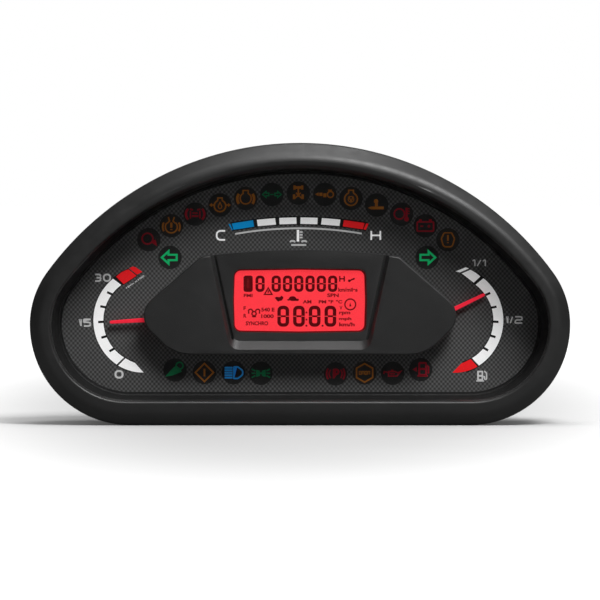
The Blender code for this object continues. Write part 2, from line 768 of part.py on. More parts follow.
def rear_housing():
    wide = nested_outline(BEZEL, 0.0007)
    sections = [
        (nested_outline(TUB, WALL + 0.0008), TUB_BACK - WALL),
        (nested_outline(TUB, WALL), FLANGE[0]),
        (wide, FLANGE[0]),
        (wide, FLANGE[1]),
        (nested_outline(TUB), FLANGE[1]),
        (nested_outline(TUB, 0.0008), TUB_BACK - 0.0020),
        (nested_outline(TUB, 0.0028), TUB_BACK),
    ]
    housing = loft("rear_housing", sections, black_plastic())
    for index, spot in enumerate(MOUNTS, 1):
        join(housing, pin(f"mount_pad_{index}", spot, 0.0075, (TUB_BACK - 0.0120, MOUNT_FACE), steps=16))
    for index, spot in enumerate([(-0.112, 0.058), (0.112, 0.058), (-0.030, 0.112), (0.030, 0.112)], 1):
        join(housing, pin(f"board_post_{index}", spot, 0.0030, (BOARD_REAR_PARTS, TUB_BACK - 0.001)))
    for index, spot in enumerate(MOUNTS, 1):
        depths = (TUB_BACK - 0.0102, MOUNT_FACE + 0.001)
        cut(housing, pin(f"insert_hole_{index}", spot, 0.0041, depths, steps=12))
    for index, spot in enumerate(housing_screw_points(), 1):
        depths = (FLANGE[0] - 0.001, FLANGE[1] + 0.001)
        cut(housing, pin(f"flange_hole_{index}", spot, SCREW_RADIUS + GAP, depths, steps=10))
    for name, middle in CONNECTORS.items():
        half_x, half_z = CONNECTOR_SIZE[0] / 2 + GAP, CONNECTOR_SIZE[1] / 2 + GAP
        low = (middle - half_x, TUB_BACK - 0.006, CONNECTOR_Z - half_z)
        high = (middle + half_x, TUB_BACK + 0.006, CONNECTOR_Z + half_z)
        cut(housing, block(f"{name}_opening", low, high))
    cut(housing, pin("vent_hole", VENT, 0.0030, (TUB_BACK - 0.006, TUB_BACK + 0.006)))
    return smooth(housing)


def housing_gasket():
    """Flat ring between the skirt's rear edge and the housing's flange, with a bridge around each screw."""
    outer = nested_outline(BEZEL, 0.0008)
    inner = nested_outline(BEZEL, SKIRT_WALL - 0.0006)
    return ring_band("housing_gasket", outer, inner, HOUSING_GASKET, rubber())


def connectors():
    for name, middle in CONNECTORS.items():
        half_x, half_z = CONNECTOR_SIZE[0] / 2, CONNECTOR_SIZE[1] / 2
        low_z, high_z = CONNECTOR_Z - half_z, CONNECTOR_Z + half_z
        outer = box_outline(middle - half_x, middle + half_x, low_z, high_z, 0.0015, 3)
        inner = inset(outer, 0.0015)
        sections = [
            (inner, REAR_END - 0.0100),
            (inner, REAR_END),
            (outer, REAR_END),
            (outer, BOARD_REAR_PARTS),
        ]
        shell = loft(name, sections, material("connector_grey", (0.16, 0.16, 0.17), 0.5))
        low = (middle - 0.0035, REAR_END - 0.0060, CONNECTOR_Z + half_z - 0.0020)
        key = block(f"{name}_key", low, (middle + 0.0035, REAR_END + 0.001, CONNECTOR_Z + half_z + 0.001))
        smooth(cut(shell, key))


def breather_vent():
    profile = [(0.0, TUB_BACK - 0.0016), (0.0024, TUB_BACK - 0.0016), (0.0024, TUB_BACK + 0.0003)]
    profile += [(0.0062, TUB_BACK + 0.0003), (0.0066, TUB_BACK + 0.0024), (0.0058, TUB_BACK + 0.0032)]
    profile += [(0.0, TUB_BACK + 0.0032)]
    turned("breather_vent", profile, VENT, rubber())


def screw(name, spot, head_face, tip, head_radius):
    """A pan-head screw from the back, its head against head_face."""
    profile = [(0.0, tip), (SCREW_RADIUS, tip + 0.0014), (SCREW_RADIUS, head_face)]
    profile += [(head_radius, head_face), (head_radius, head_face + 0.0011)]
    profile += [(head_radius - 0.0010, head_face + 0.0018), (0.0, head_face + 0.0018)]
    turned(name, profile, spot, steel(), steps=8)


def fasteners():
    for index, spot in enumerate(housing_screw_points(), 1):
        screw(f"housing_screw_{index}", spot, FLANGE[1] + GAP, -0.0040, 0.0032)
    for index, spot in enumerate(BOARD_SCREWS, 1):
        screw(f"board_screw_{index}", spot, BOARD_REAR_PARTS, LIGHT_BOX[0] + 0.0030, 0.0028)
    for index, spot in enumerate(MOUNTS, 1):
        front, back = TUB_BACK - 0.0099, MOUNT_FACE
        profile = [(0.0025, front), (0.0038, front), (0.0038, back), (0.0025, back)]
        turned(f"mounting_insert_{index}", profile, spot, brass())


def main():
    clear_scene()
    front_bezel()
    front_lens()
    lens_gasket()
    dial_surround()
    dial_face()
    centre_pod()
    display()
    light_box()
    light_guides()
    main_board()
    board_parts()
    left, right = pivots()
    for name, pivot, rest_deg in (("tach", left, TACH_REST_DEG), ("fuel", right, FUEL_REST_DEG)):
        gauge_motor(name, pivot)
        pointer(name, pivot, rest_deg)
    rear_housing()
    housing_gasket()
    connectors()
    breather_vent()
    fasteners()


main()
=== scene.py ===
"""Looks of the half-round instrument cluster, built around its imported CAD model.

Metres, +Z up. The front faces -Y and X = 0 is the plane of symmetry. Depths come from the CAD nodes.
"""

import math

import bmesh
import bpy
from mathutils import Matrix, Vector
from mathutils.geometry import tessellate_polygon


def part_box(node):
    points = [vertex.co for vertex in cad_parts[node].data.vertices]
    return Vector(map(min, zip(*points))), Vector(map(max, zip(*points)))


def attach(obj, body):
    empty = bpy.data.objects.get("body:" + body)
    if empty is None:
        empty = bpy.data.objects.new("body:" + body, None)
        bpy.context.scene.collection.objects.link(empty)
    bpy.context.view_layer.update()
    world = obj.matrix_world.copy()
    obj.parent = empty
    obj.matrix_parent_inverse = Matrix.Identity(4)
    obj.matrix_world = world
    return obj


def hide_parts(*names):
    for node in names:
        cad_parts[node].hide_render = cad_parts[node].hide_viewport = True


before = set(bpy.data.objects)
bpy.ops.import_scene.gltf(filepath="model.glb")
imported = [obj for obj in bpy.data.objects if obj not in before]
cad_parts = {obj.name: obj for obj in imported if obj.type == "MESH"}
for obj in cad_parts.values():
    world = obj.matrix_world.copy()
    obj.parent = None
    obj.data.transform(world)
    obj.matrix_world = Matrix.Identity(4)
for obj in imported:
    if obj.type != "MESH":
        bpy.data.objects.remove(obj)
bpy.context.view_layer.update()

BODY = "cluster_body"
TACH = "tach_needle"
FUEL = "fuel_needle"

# Outlines as (half width, top, bottom), as in the CAD model
BEZEL = (0.1400, 0.1460, 0.0000)
OPENING = (0.1293, 0.1337, 0.0125)
DIAL_VIEW = (0.1240, 0.1300, 0.0165)
STACK = (0.1280, 0.1332, 0.0132)
TUB = (0.1270, 0.1330, 0.0130)
WAIST_HEIGHT = 0.052
DOME_CENTRE_X = 0.094

# Depths, read from the CAD nodes
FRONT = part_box("front_bezel")[0].y
SKIRT_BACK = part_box("front_bezel")[1].y
SURROUND_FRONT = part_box("dial_surround")[0].y
SURROUND_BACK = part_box("dial_surround")[1].y
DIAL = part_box("dial_face")[0].y
POD_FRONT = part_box("centre_pod")[0].y
POD_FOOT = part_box("centre_pod")[1].y
WINDOW_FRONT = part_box("display_window")[0].y
GLASS_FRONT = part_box("display_glass")[0].y

# The rounding of the pod's front edge, and how much its recess widens on each side per metre of height
POD_ROUNDING = 0.0009
SPREAD = 0.2114

# The right gauge's pivot as (x, z). The left one is its mirror image
PIVOT = (0.0700, 0.0547)

# The directions of the pointers at rest
TACH_REST_DEG = 183.7
FUEL_REST_DEG = 26.0

# The middle of the circles along which the coolant bar runs
COOLANT_CENTRE = (0.0, -0.0888)

# A print's thickness, its gap to the layer behind it, and its shift off centre
PRINT = 0.00005
PRINT_LIFT = 0.00001
PRINT_SHIFT = -0.00026


# Materials


def rgba(level):
    """A colour for a socket, from a grey level or three channels."""
    return (*level, 1.0) if isinstance(level, tuple) else (level, level, level, 1.0)


class Look:
    """A node material around a Principled shader, textured in the object's own space."""

    def __init__(self, name, stretch=None):
        self.material = bpy.data.materials.new(name)
        self.material.use_nodes = True
        self.tree = self.material.node_tree
        self.place = self.node("TexCoord").outputs["Object"]
        if stretch:
            self.place = self.node("Mapping", Vector=self.place, Scale=stretch).outputs["Vector"]

    def put(self, socket, value):
        """Links a socket to another one, or keeps a value in it."""
        if isinstance(value, bpy.types.NodeSocket):
            self.tree.links.new(value, socket)
        else:
            socket.default_value = value

    def feed(self, node, **values):
        """Fills a node's inputs by name, with _ for a space."""
        for name, value in values.items():
            self.put(node.inputs[name.replace("_", " ")], value)
        return node

    def node(self, kind, **values):
        return self.feed(self.tree.nodes.new(f"ShaderNode{kind}"), **values)

    def noise(self, scale, detail=3.0):
        return self.node("TexNoise", Vector=self.place, Scale=scale, Detail=detail).outputs["Fac"]

    def ramp(self, factor, low, high, start=0.3, end=0.7):
        """A two-stop ramp between two grey levels or two colours."""
        made = self.node("ValToRGB", Fac=factor)
        stops = made.color_ramp.elements
        stops[0].position, stops[1].position = start, end
        stops[0].color, stops[1].color = rgba(low), rgba(high)
        return made.outputs["Color"]

    def bump(self, height, distance, strength=1.0):
        return self.node("Bump", Height=height, Distance=distance, Strength=strength).outputs["Normal"]

    def calculate(self, operation, *values):
        made = self.node("Math")
        made.operation = operation
        for socket, value in zip(made.inputs, values):
            self.put(socket, value)
        return made.outputs[0]

    def shade(self, **values):
        """Fills the shader's inputs and returns the material."""
        self.feed(self.tree.nodes["Principled BSDF"], **values)
        return self.material


def moulded(name, dark, light, rough=(0.45, 0.6), grain=2600.0, depth=0.00004, specular=0.5):
    """Moulded plastic: slight colour drift, spark-eroded grain and uneven gloss."""
    look = Look(name)
    return look.shade(
        Base_Color=look.ramp(look.noise(60.0), dark, light),
        Roughness=look.ramp(look.noise(220.0, 4.0), *rough),
        Normal=look.bump(look.noise(grain, 2.0), depth),
        Specular_IOR_Level=specular,
    )


def metal(name, dark, light, rough=(0.25, 0.42), grain=900.0, stretch=(1.0, 1.0, 1.0)):
    """Plated or turned metal with fine tool marks."""
    look = Look(name, stretch)
    marks = look.noise(grain, 5.0)
    return look.shade(
        Base_Color=look.ramp(marks, dark, light),
        Roughness=look.ramp(marks, *rough),
        Normal=look.bump(marks, 0.00002),
        Metallic=1.0,
    )


def printed(name, color, glow, rough=0.55):
    """Ink on the dial, lit from behind: uneven ink and a constant glow."""
    look = Look(name)
    worn = tuple(channel * 0.93 for channel in color)
    return look.shade(
        Base_Color=look.ramp(look.noise(400.0), worn, color),
        Roughness=look.ramp(look.noise(900.0), rough - 0.06, rough + 0.06),
        Specular_IOR_Level=0.05,
        Emission_Color=rgba(color),
        Emission_Strength=glow,
    )


def clear(name, color, alpha, rough):
    """Thin clear plastic that lets the lamps through."""
    look = Look(name)
    return look.shade(
        Base_Color=rgba(color),
        Roughness=look.ramp(look.noise(300.0), rough, rough + 0.03),
        Specular_IOR_Level=0.0,
        Alpha=alpha,
    )


def weave():
    """The dial's fine dark weave: a staggered lattice of light dots."""
    look = Look("dial_weave")
    axes = look.node("SeparateXYZ", Vector=look.place)
    waves = []
    for axis, pitch in (("X", 0.00228), ("Z", 0.00250)):
        turn = look.calculate("MULTIPLY", axes.outputs[axis], 2 * math.pi / pitch)
        waves.append(look.calculate("SINE", turn))
    height = look.calculate("MULTIPLY_ADD", look.calculate("MULTIPLY", *waves), 0.5, 0.5)
    return look.shade(
        Base_Color=look.ramp(height, 0.041, 0.126, 0.25, 0.90),
        Roughness=look.ramp(height, 0.62, 0.42),
        Normal=look.bump(height, 0.00008, 0.6),
        Specular_IOR_Level=0.12,
    )


def backlit_red():
    """The display's evenly lit red field, with the faint mottle of its diffuser."""
    look = Look("display_red")
    mottle = look.noise(500.0)
    return look.shade(
        Base_Color=look.ramp(mottle, (0.20, 0.008, 0.012), (0.26, 0.010, 0.016)),
        Roughness=look.ramp(mottle, 0.5, 0.6),
        Specular_IOR_Level=0.1,
        Emission_Color=rgba((1.0, 0.040, 0.055)),
        Emission_Strength=0.98,
    )


def board_green():
    """Solder mask over a grid of copper tracks."""
    look = Look("solder_mask")
    tracks = look.node(
        "TexBrick",
        Vector=look.place,
        Scale=180.0,
        Color1=rgba((0.010, 0.090, 0.030)),
        Color2=rgba((0.016, 0.120, 0.042)),
        Mortar=rgba((0.030, 0.180, 0.070)),
    )
    return look.shade(Base_Color=tracks.outputs["Color"], Roughness=look.ramp(look.noise(300.0), 0.3, 0.42))


def studio_white():
    """The floor: for the camera grey near the cluster and white further off, for other rays darker. The white
    is a painted glow that grows with the distance from the cluster, so the grey around it is real shadow
    deepened by painted shade.
    """
    look = Look("studio_white")
    seen = look.node("LightPath").outputs["Is Camera Ray"]
    paint = look.node("Mix")
    paint.data_type = "RGBA"
    look.feed(paint, A=rgba(0.22), B=look.ramp(look.noise(3.0), 0.44, 0.46), Factor=seen)
    # Painted glow on the floor, seen only by the camera: it whitens the floor further off the cluster and
    # leaves a painted shade around it
    oval = look.node("Mapping", Vector=look.place, Scale=(4.5, 1.0, 1.0))
    reach = look.node("VectorMath", Vector=oval.outputs["Vector"])
    reach.operation = "LENGTH"
    painted_glow = look.node("MapRange", Value=reach.outputs["Value"], From_Min=0.25, From_Max=1.50)
    painted_glow.interpolation_type = "SMOOTHSTEP"
    return look.shade(
        Base_Color=paint.outputs["Result"],
        Roughness=0.9,
        Specular_IOR_Level=0.1,
        Emission_Color=rgba(1.0),
        Emission_Strength=look.calculate("MULTIPLY", painted_glow.outputs["Result"], seen),
    )


MATERIALS = {
    "bezel": moulded("bezel_black", 0.0112, 0.0143, (0.39, 0.49), specular=0.42),
    "pod": moulded("pod_black", 0.0145, 0.0180, (0.38, 0.46), depth=0.00001, specular=0.48),
    "surround": moulded("surround_black", 0.0050, 0.0070, (0.55, 0.7), specular=0.2),
    "housing": moulded("housing_black", 0.0170, 0.0220, (0.5, 0.66), grain=1800.0, depth=0.00007),
    "connector": moulded("connector_grey", 0.045, 0.058, (0.4, 0.52)),
    "rubber": moulded("seal_rubber", 0.008, 0.012, (0.75, 0.88), grain=1500.0),
    "white": moulded("white_moulding", 0.68, 0.74, (0.5, 0.62)),
    "gear": moulded("gear_acetal", (0.70, 0.68, 0.60), (0.76, 0.74, 0.66), (0.35, 0.5)),
    "motor": moulded("motor_grey", 0.030, 0.040, (0.4, 0.55)),
    "chip": moulded("chip_epoxy", 0.012, 0.018, (0.35, 0.5), grain=3500.0),
    "disc": moulded("telltale_window", 0.0160, 0.0200, (0.45, 0.55), specular=0.15),
    # Black ink for the scale ticks and backing; on the walls of the pod's grooves the same black is painted
    # shade
    "mark": moulded("black_print_and_groove_shade", 0.0060, 0.0080, (0.5, 0.6), specular=0.2),
    "steel": metal("zinc_steel", (0.50, 0.50, 0.52), (0.66, 0.66, 0.68)),
    "brass": metal("turned_brass", (0.68, 0.48, 0.17), (0.82, 0.60, 0.26), stretch=(1.0, 6.0, 1.0)),
    "copper": metal("coil_copper", (0.60, 0.24, 0.10), (0.76, 0.36, 0.18), grain=2600.0, stretch=(8, 1, 1)),
    "can": metal("capacitor_can", (0.55, 0.55, 0.57), (0.70, 0.70, 0.72)),
    "magnet": metal("magnet_ferrite", (0.05, 0.05, 0.055), (0.09, 0.09, 0.10), (0.5, 0.65)),
    "board": board_green(),
    "weave": weave(),
    "lens": clear("lens_clear", (0.02, 0.02, 0.02), 0.04, 0.03),
    "window": clear("window_clear", (0.02, 0.02, 0.02), 0.04, 0.05),
    "guide": clear("guide_frosted", (0.60, 0.63, 0.65), 0.55, 0.35),
    "display": backlit_red(),
    "segment": printed("segment_dark", (0.062, 0.0006, 0.0014), 0.8, 0.5),
    "faint": printed("segment_faint", (0.120, 0.003, 0.004), 0.5, 0.5),
    "white_print": printed("print_white", (0.86, 0.86, 0.86), 0.36),
    "grey_print": printed("print_grey", (0.55, 0.55, 0.55), 0.22),
    "red_print": printed("print_red", (0.72, 0.012, 0.016), 0.30),
    "blue_print": printed("print_blue", (0.002, 0.19, 0.45), 0.50),
    "lamp_red": printed("lamp_red", (0.27, 0.009, 0.020), 0.12),
    "lamp_orange": printed("lamp_orange", (0.30, 0.105, 0.016), 0.12),
    "lamp_green": printed("lamp_green", (0.008, 0.16, 0.060), 0.12),
    "lamp_blue": printed("lamp_blue", (0.012, 0.16, 0.42), 0.30),
    "lamp_lit": printed("lamp_lit_green", (0.006, 0.32, 0.100), 0.50),
    "pointer": printed("pointer_red", (0.72, 0.018, 0.040), 0.50, 0.35),
}


# Outlines, as lists of (x, z) points


def around(centre, angle_deg, radius):
    """The point at an angle and a distance from a centre."""
    angle = math.radians(angle_deg)
    return centre[0] + radius * math.cos(angle), centre[1] + radius * math.sin(angle)


def arc(centre, radius, start_deg, end_deg, steps):
    turn = end_deg - start_deg
    return [around(centre, start_deg + turn * step / steps, radius) for step in range(steps + 1)]


def circle(centre, radius, steps=32):
    return arc(centre, radius, 0, 360, steps)[:-1]


def nested_outline(size, shrink=0.0):
    """The cluster's outline: a flat bottom, two round ends and a dome, all tangent."""
    half_width = size[0] - shrink
    top = size[1] - shrink
    bottom = size[2] + shrink
    rise = top - WAIST_HEIGHT
    upper = half_width - DOME_CENTRE_X
    dome = (DOME_CENTRE_X**2 + rise**2 - upper**2) / (2 * (rise - upper))
    dome_z = top - dome
    lower = WAIST_HEIGHT - bottom
    meet_deg = math.degrees(math.atan2(WAIST_HEIGHT - dome_z, DOME_CENTRE_X))
    flat_end = half_width - lower
    right = [(flat_end * step / 8, bottom) for step in range(1, 8)]
    right += arc((flat_end, WAIST_HEIGHT), lower, -90, 0, 24)
    right += arc((DOME_CENTRE_X, WAIST_HEIGHT), upper, 0, meet_deg, 16)[1:]
    right += arc((0, dome_z), dome, meet_deg, 90, 32)[1:]
    return right + mirrored(right[:-1]) + [(0.0, bottom)]


def between(share):
    """A size between the bezel's outline (0) and the opening (1)."""
    return tuple(outer + (inner - outer) * share for outer, inner in zip(BEZEL, OPENING))


def turned(x, z, angle):
    """A point turned around the origin."""
    cosine, sine = math.cos(angle), math.sin(angle)
    return x * cosine - z * sine, x * sine + z * cosine


def soften(corners, steps=4, closed=True):
    """A line with an arc at each corner. A corner is (x, z, radius)."""
    points = []
    count = len(corners)
    for index, (x, z, radius) in enumerate(corners):
        here = Vector((x, z))
        at_end = not closed and index in (0, count - 1)
        if at_end or radius <= 0:
            points.append((x, z))
            continue
        before = (Vector(corners[index - 1][:2]) - here).normalized()
        after = (Vector(corners[(index + 1) % count][:2]) - here).normalized()
        half = before.angle(after) / 2
        middle = here + (before + after).normalized() * radius / math.sin(half)
        first = here + before * radius / math.tan(half) - middle
        turn = math.pi - 2 * half
        if before.x * after.y - before.y * after.x > 0:
            turn = -turn
        for step in range(steps + 1):
            spot_x, spot_z = turned(first.x, first.y, turn * step / steps)
            points.append((middle.x + spot_x, middle.y + spot_z))
    return points


def box_outline(low_x, high_x, low_z, high_z, radius, steps=4):
    corners = [(low_x, low_z), (high_x, low_z), (high_x, high_z), (low_x, high_z)]
    return soften([(x, z, radius) for x, z in corners], steps)


def mirrored(points):
    return [(-x, *rest) for x, *rest in reversed(points)]


def moved_along_normals(points, distance, closed):
    """Points of a line moved to its left by a distance, mitred at the corners."""
    moved = []
    count = len(points)
    for index in range(count):
        here = Vector(points[index])
        sides = []
        if closed or index > 0:
            step = (here - Vector(points[index - 1])).normalized()
            sides.append(Vector((-step.y, step.x)))
        if closed or index < count - 1:
            step = (Vector(points[(index + 1) % count]) - here).normalized()
            sides.append(Vector((-step.y, step.x)))
        along = (sides[0] + sides[-1]).normalized()
        spot = here + along * distance / max(along.dot(sides[0]), 0.4)
        moved.append((spot.x, spot.y))
    return moved


def stroke(points, width, closed=False):
    """The loops of a drawn line: one for an open line, two for a closed one."""
    left = moved_along_normals(points, width / 2, closed)
    right = moved_along_normals(points, -width / 2, closed)
    if closed:
        return [right, left]
    return [left + list(reversed(right))]


def inset_loop(outline, distance):
    return moved_along_normals(outline, distance, True)


# Solids


def new_object(name, data):
    thing = bpy.data.objects.new(name, data)
    bpy.context.scene.collection.objects.link(thing)
    return thing


def new_mesh(name, build, *materials):
    """Turns a bmesh into an object."""
    mesh = bpy.data.meshes.new(name)
    build.to_mesh(mesh)
    build.free()
    for material in materials:
        mesh.materials.append(material)
    return new_object(name, mesh)


def smooth(thing, sharp_deg):
    thing.data.shade_smooth()
    thing.data.set_sharp_from_angle(angle=math.radians(sharp_deg))


def finish_mesh(name, build, surface, sharp_deg=30, body=BODY, replaces=()):
    """Turns a bmesh into a piece that rides on a body."""
    bmesh.ops.recalc_face_normals(build, faces=build.faces)
    thing = new_mesh(name, build, MATERIALS[surface])
    smooth(thing, sharp_deg)
    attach(thing, body)
    if replaces:
        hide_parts(*replaces)
    return thing


def add_loft(build, sections, ring=False):
    """Skins a row of sections (outline, y)."""
    rows = []
    for points, depth in sections:
        rows.append([build.verts.new((x, depth, z)) for x, z in points])
    skin(build, rows, ring)


def skin(build, rows, ring=False):
    """Joins rows of vertices with faces; both ends are capped unless it is a ring."""
    pairs = list(zip(rows, rows[1:]))
    if ring:
        pairs.append((rows[-1], rows[0]))
    for one, other in pairs:
        count = len(one)
        for index in range(count):
            after = (index + 1) % count
            build.faces.new((one[index], one[after], other[after], other[index]))
    if not ring:
        build.faces.new(rows[0])
        build.faces.new(list(reversed(rows[-1])))


def add_plate(build, loops, front, back):
    """Adds a flat plate between two depths. The first loop is its outline, the others its holes."""
    flat = [[Vector((x, z, 0.0)) for x, z in loop] for loop in loops]
    faces = tessellate_polygon(flat)
    points = [point for loop in loops for point in loop]
    fronts = [build.verts.new((x, front, z)) for x, z in points]
    backs = [build.verts.new((x, back, z)) for x, z in points]
    for corners in faces:
        build.faces.new([fronts[index] for index in corners])
        build.faces.new([backs[index] for index in reversed(corners)])
    start = 0
    for loop in loops:
        count = len(loop)
        for index in range(count):
            one, other = start + index, start + (index + 1) % count
            build.faces.new((fronts[one], fronts[other], backs[other], backs[one]))
        start += count


def add_turned(build, profile, centre, steps=32):
    """Adds a turned solid on an axis along Y. The profile is (radius, y), front to back."""
    sections = [(circle(centre, max(radius, 0.00001), steps), depth) for radius, depth in profile]
    add_loft(build, sections)


def add_text(build, text, low_x, high_x, low_z, high_z, front, turn_deg=0.0):
    """Adds lettering, stretched to fill a box on the plane of the print."""
    curve = bpy.data.curves.new("lettering", "FONT")
    curve.body = text
    curve.fill_mode = "BOTH"
    curve.extrude = PRINT / 2
    curve.offset = 0.035
    guide = bpy.data.objects.new("lettering_guide", curve)
    mesh = bpy.data.meshes.new_from_object(guide)
    bpy.data.objects.remove(guide)
    xs = [vertex.co.x for vertex in mesh.vertices]
    zs = [vertex.co.y for vertex in mesh.vertices]
    scale_x = (high_x - low_x) / (max(xs) - min(xs))
    scale_z = (high_z - low_z) / (max(zs) - min(zs))
    middle = Vector(((low_x + high_x) / 2, front, (low_z + high_z) / 2))
    turn = Matrix.Rotation(-math.radians(turn_deg), 4, "Y")
    for vertex in mesh.vertices:
        x = (vertex.co.x - (max(xs) + min(xs)) / 2) * scale_x
        z = (vertex.co.y - (max(zs) + min(zs)) / 2) * scale_z
        vertex.co = middle + turn @ Vector((x, -vertex.co.z, z))
    build.from_mesh(mesh)
    bpy.data.meshes.remove(mesh)


class Print:
    """One layer of ink on a plane: plates that share a colour and a depth."""

    def __init__(self, name, surface, back):
        self.name = name
        self.surface = surface
        self.back = back
        self.front = back - PRINT
        self.build = bmesh.new()

    def fill(self, *loops):
        add_plate(self.build, list(loops), self.front, self.back)

    def line(self, points, width, closed=False):
        self.fill(*stroke(points, width, closed))

    def text(self, text, low_x, high_x, low_z, high_z, turn_deg=0.0):
        add_text(self.build, text, low_x, high_x, low_z, high_z, (self.front + self.back) / 2, turn_deg)

    def finish(self):
        bmesh.ops.translate(self.build, vec=(PRINT_SHIFT, 0.0, 0.0), verts=self.build.verts)
        return finish_mesh(self.name, self.build, self.surface, 20)


# Front: bezel and surround


def bezel_profile(slope_drop, shoulder, lip, lip_drop, throat):
    """A section of the bezel as (share of the way to the opening, y), rounded at its edges."""
    inset = 0.0107
    corners = [
        (0.0, SKIRT_BACK, 0.0),
        (0.0, FRONT + slope_drop, 0.0022),
        (shoulder, FRONT + 0.0007, 0.0060),
        (lip, FRONT + lip_drop, 0.0009 + 3.0 * lip_drop),
        (throat, FRONT + 0.0054, 0.0),
        (0.0079, FRONT + 0.0054, 0.0),
        (0.0032, FRONT + 0.0115, 0.0),
        (0.0032, SKIRT_BACK, 0.0),
    ]
    return [(spot / inset, depth) for spot, depth in soften(corners, 6)]


def bezel():
    """The bezel rolls inwards early at the crest of the dome, and keeps a sharper lip along its foot."""
    build = bmesh.new()
    foot = bezel_profile(0.0050, 0.0052, 0.0106, 0.0001, 0.0113)
    crest = bezel_profile(0.0095, 0.0062, 0.0096, 0.0008, 0.0114)
    rows = []
    for (foot_share, foot_depth), (crest_share, crest_depth) in zip(foot, crest):
        row = []
        for low, high in zip(nested_outline(between(foot_share)), nested_outline(between(crest_share))):
            height = min(max(low[1] / BEZEL[1], 0.0), 1.0)
            share = height**4
            low_spot = Vector((low[0], foot_depth, low[1]))
            high_spot = Vector((high[0], crest_depth, high[1]))
            row.append(build.verts.new(low_spot.lerp(high_spot, share)))
        rows.append(row)
    skin(build, rows, ring=True)
    finish_mesh("bezel_shell", build, "bezel", 28, replaces=["front_bezel"])


def surround():
    """The dark funnel between the lens and the dial, with a small step at its foot."""
    build = bmesh.new()
    sections = [
        (nested_outline(OPENING, 0.0006), SURROUND_FRONT),
        (nested_outline(DIAL_VIEW, -0.0016), SURROUND_BACK - 0.0040),
        (nested_outline(DIAL_VIEW, -0.0010), SURROUND_BACK - 0.0036),
        (nested_outline(DIAL_VIEW), SURROUND_BACK),
        (nested_outline(STACK), SURROUND_BACK),
        (nested_outline(STACK), SURROUND_BACK - 0.0016),
        (nested_outline(DIAL_VIEW, -0.0029), SURROUND_BACK - 0.0016),
        (nested_outline(STACK, -0.0004), SURROUND_FRONT + 0.0030),
        (nested_outline(OPENING, -0.0015), SURROUND_FRONT + 0.0012),
        (nested_outline(OPENING, -0.0015), SURROUND_FRONT),
    ]
    add_loft(build, sections, ring=True)
    finish_mesh("surround_funnel", build, "surround", 28, replaces=["dial_surround"])


# Centre pod


def pod_outline():
    """The pod seen from the front: an arched top, blunt ends and a flat bottom."""
    arch_radius = 0.373
    top = 0.0905
    right = [(0.0655, 0.0362, 0.022), (0.0863, 0.0569, 0.011), (0.0515, 0.0871, 0.005)]
    for x in (0.034, 0.017):
        right.append((x, top - x**2 / (2 * arch_radius), 0.02))
    return soften(right + [(0.0, top, 0.02)] + mirrored(right), 10)


def pod():
    """The pod's shell: a rounded block cut by the open-topped recess, the window and the pointer slots."""
    outline = pod_outline()
    build = bmesh.new()
    edge = []
    for step in range(6):
        angle = math.radians(90 * step / 5)
        edge.append((POD_ROUNDING * (1 - math.cos(angle)), POD_FRONT + POD_ROUNDING * (1 - math.sin(angle))))
    sections = [(outline, POD_FOOT)]
    sections += [(inset_loop(outline, inward), depth) for inward, depth in edge]
    add_loft(build, sections)
    shell = finish_mesh("pod_shell", build, "pod", 30, replaces=["centre_pod"])
    # A second, black slot: painted shade on the walls of the recess's grooves
    shell.data.materials.append(MATERIALS["mark"])
    cutters = pod_cutters(outline)
    cut_by(shell, cutters)
    rounding = shell.modifiers.new("edges", "BEVEL")
    rounding.width = 0.0004
    rounding.segments = 3
    rounding.limit_method = "ANGLE"
    rounding.angle_limit = math.radians(40)
    rounding.use_clamp_overlap = True
    apply_modifiers(shell)
    smooth(shell, 35)
    for cutter in cutters:
        bpy.data.objects.remove(cutter)


def new_cutter(name, sections, surface_index=0):
    build = bmesh.new()
    add_loft(build, sections)
    for face in build.faces:
        face.material_index = surface_index
    bmesh.ops.recalc_face_normals(build, faces=build.faces)
    return new_mesh(name, build, MATERIALS["pod"], MATERIALS["mark"])


def cut_by(thing, cutters):
    for cutter in cutters:
        modifier = thing.modifiers.new(cutter.name, "BOOLEAN")
        modifier.operation = "DIFFERENCE"
        modifier.object = cutter


def recess_outline(bottom, half_bottom):
    """The recess for the display: it widens upwards and runs out over the pod's top edge."""
    top = 0.100
    half_top = half_bottom + SPREAD * (top - bottom)
    corners = [(-half_bottom, bottom, 0.006), (half_bottom, bottom, 0.006)]
    corners += [(half_top, top, 0.001), (-half_top, top, 0.001)]
    return soften(corners, 10)


def window_outline(grow=0.0):
    """The display's window, slightly bowed on all four sides."""
    half_width, low, high = 0.0343 + grow, 0.0479 - grow, 0.0805 + grow
    middle = (low + high) / 2
    bow, corner, bend = 0.0005, 0.0038, 0.05
    corners = [
        (-half_width, low, corner),
        (0.0, low - bow, bend),
        (half_width, low, corner),
        (half_width + bow, middle, bend),
        (half_width, high, corner),
        (0.0, high + bow, bend),
        (-half_width, high, corner),
        (-half_width - bow, middle, bend),
    ]
    return soften(corners, 6)


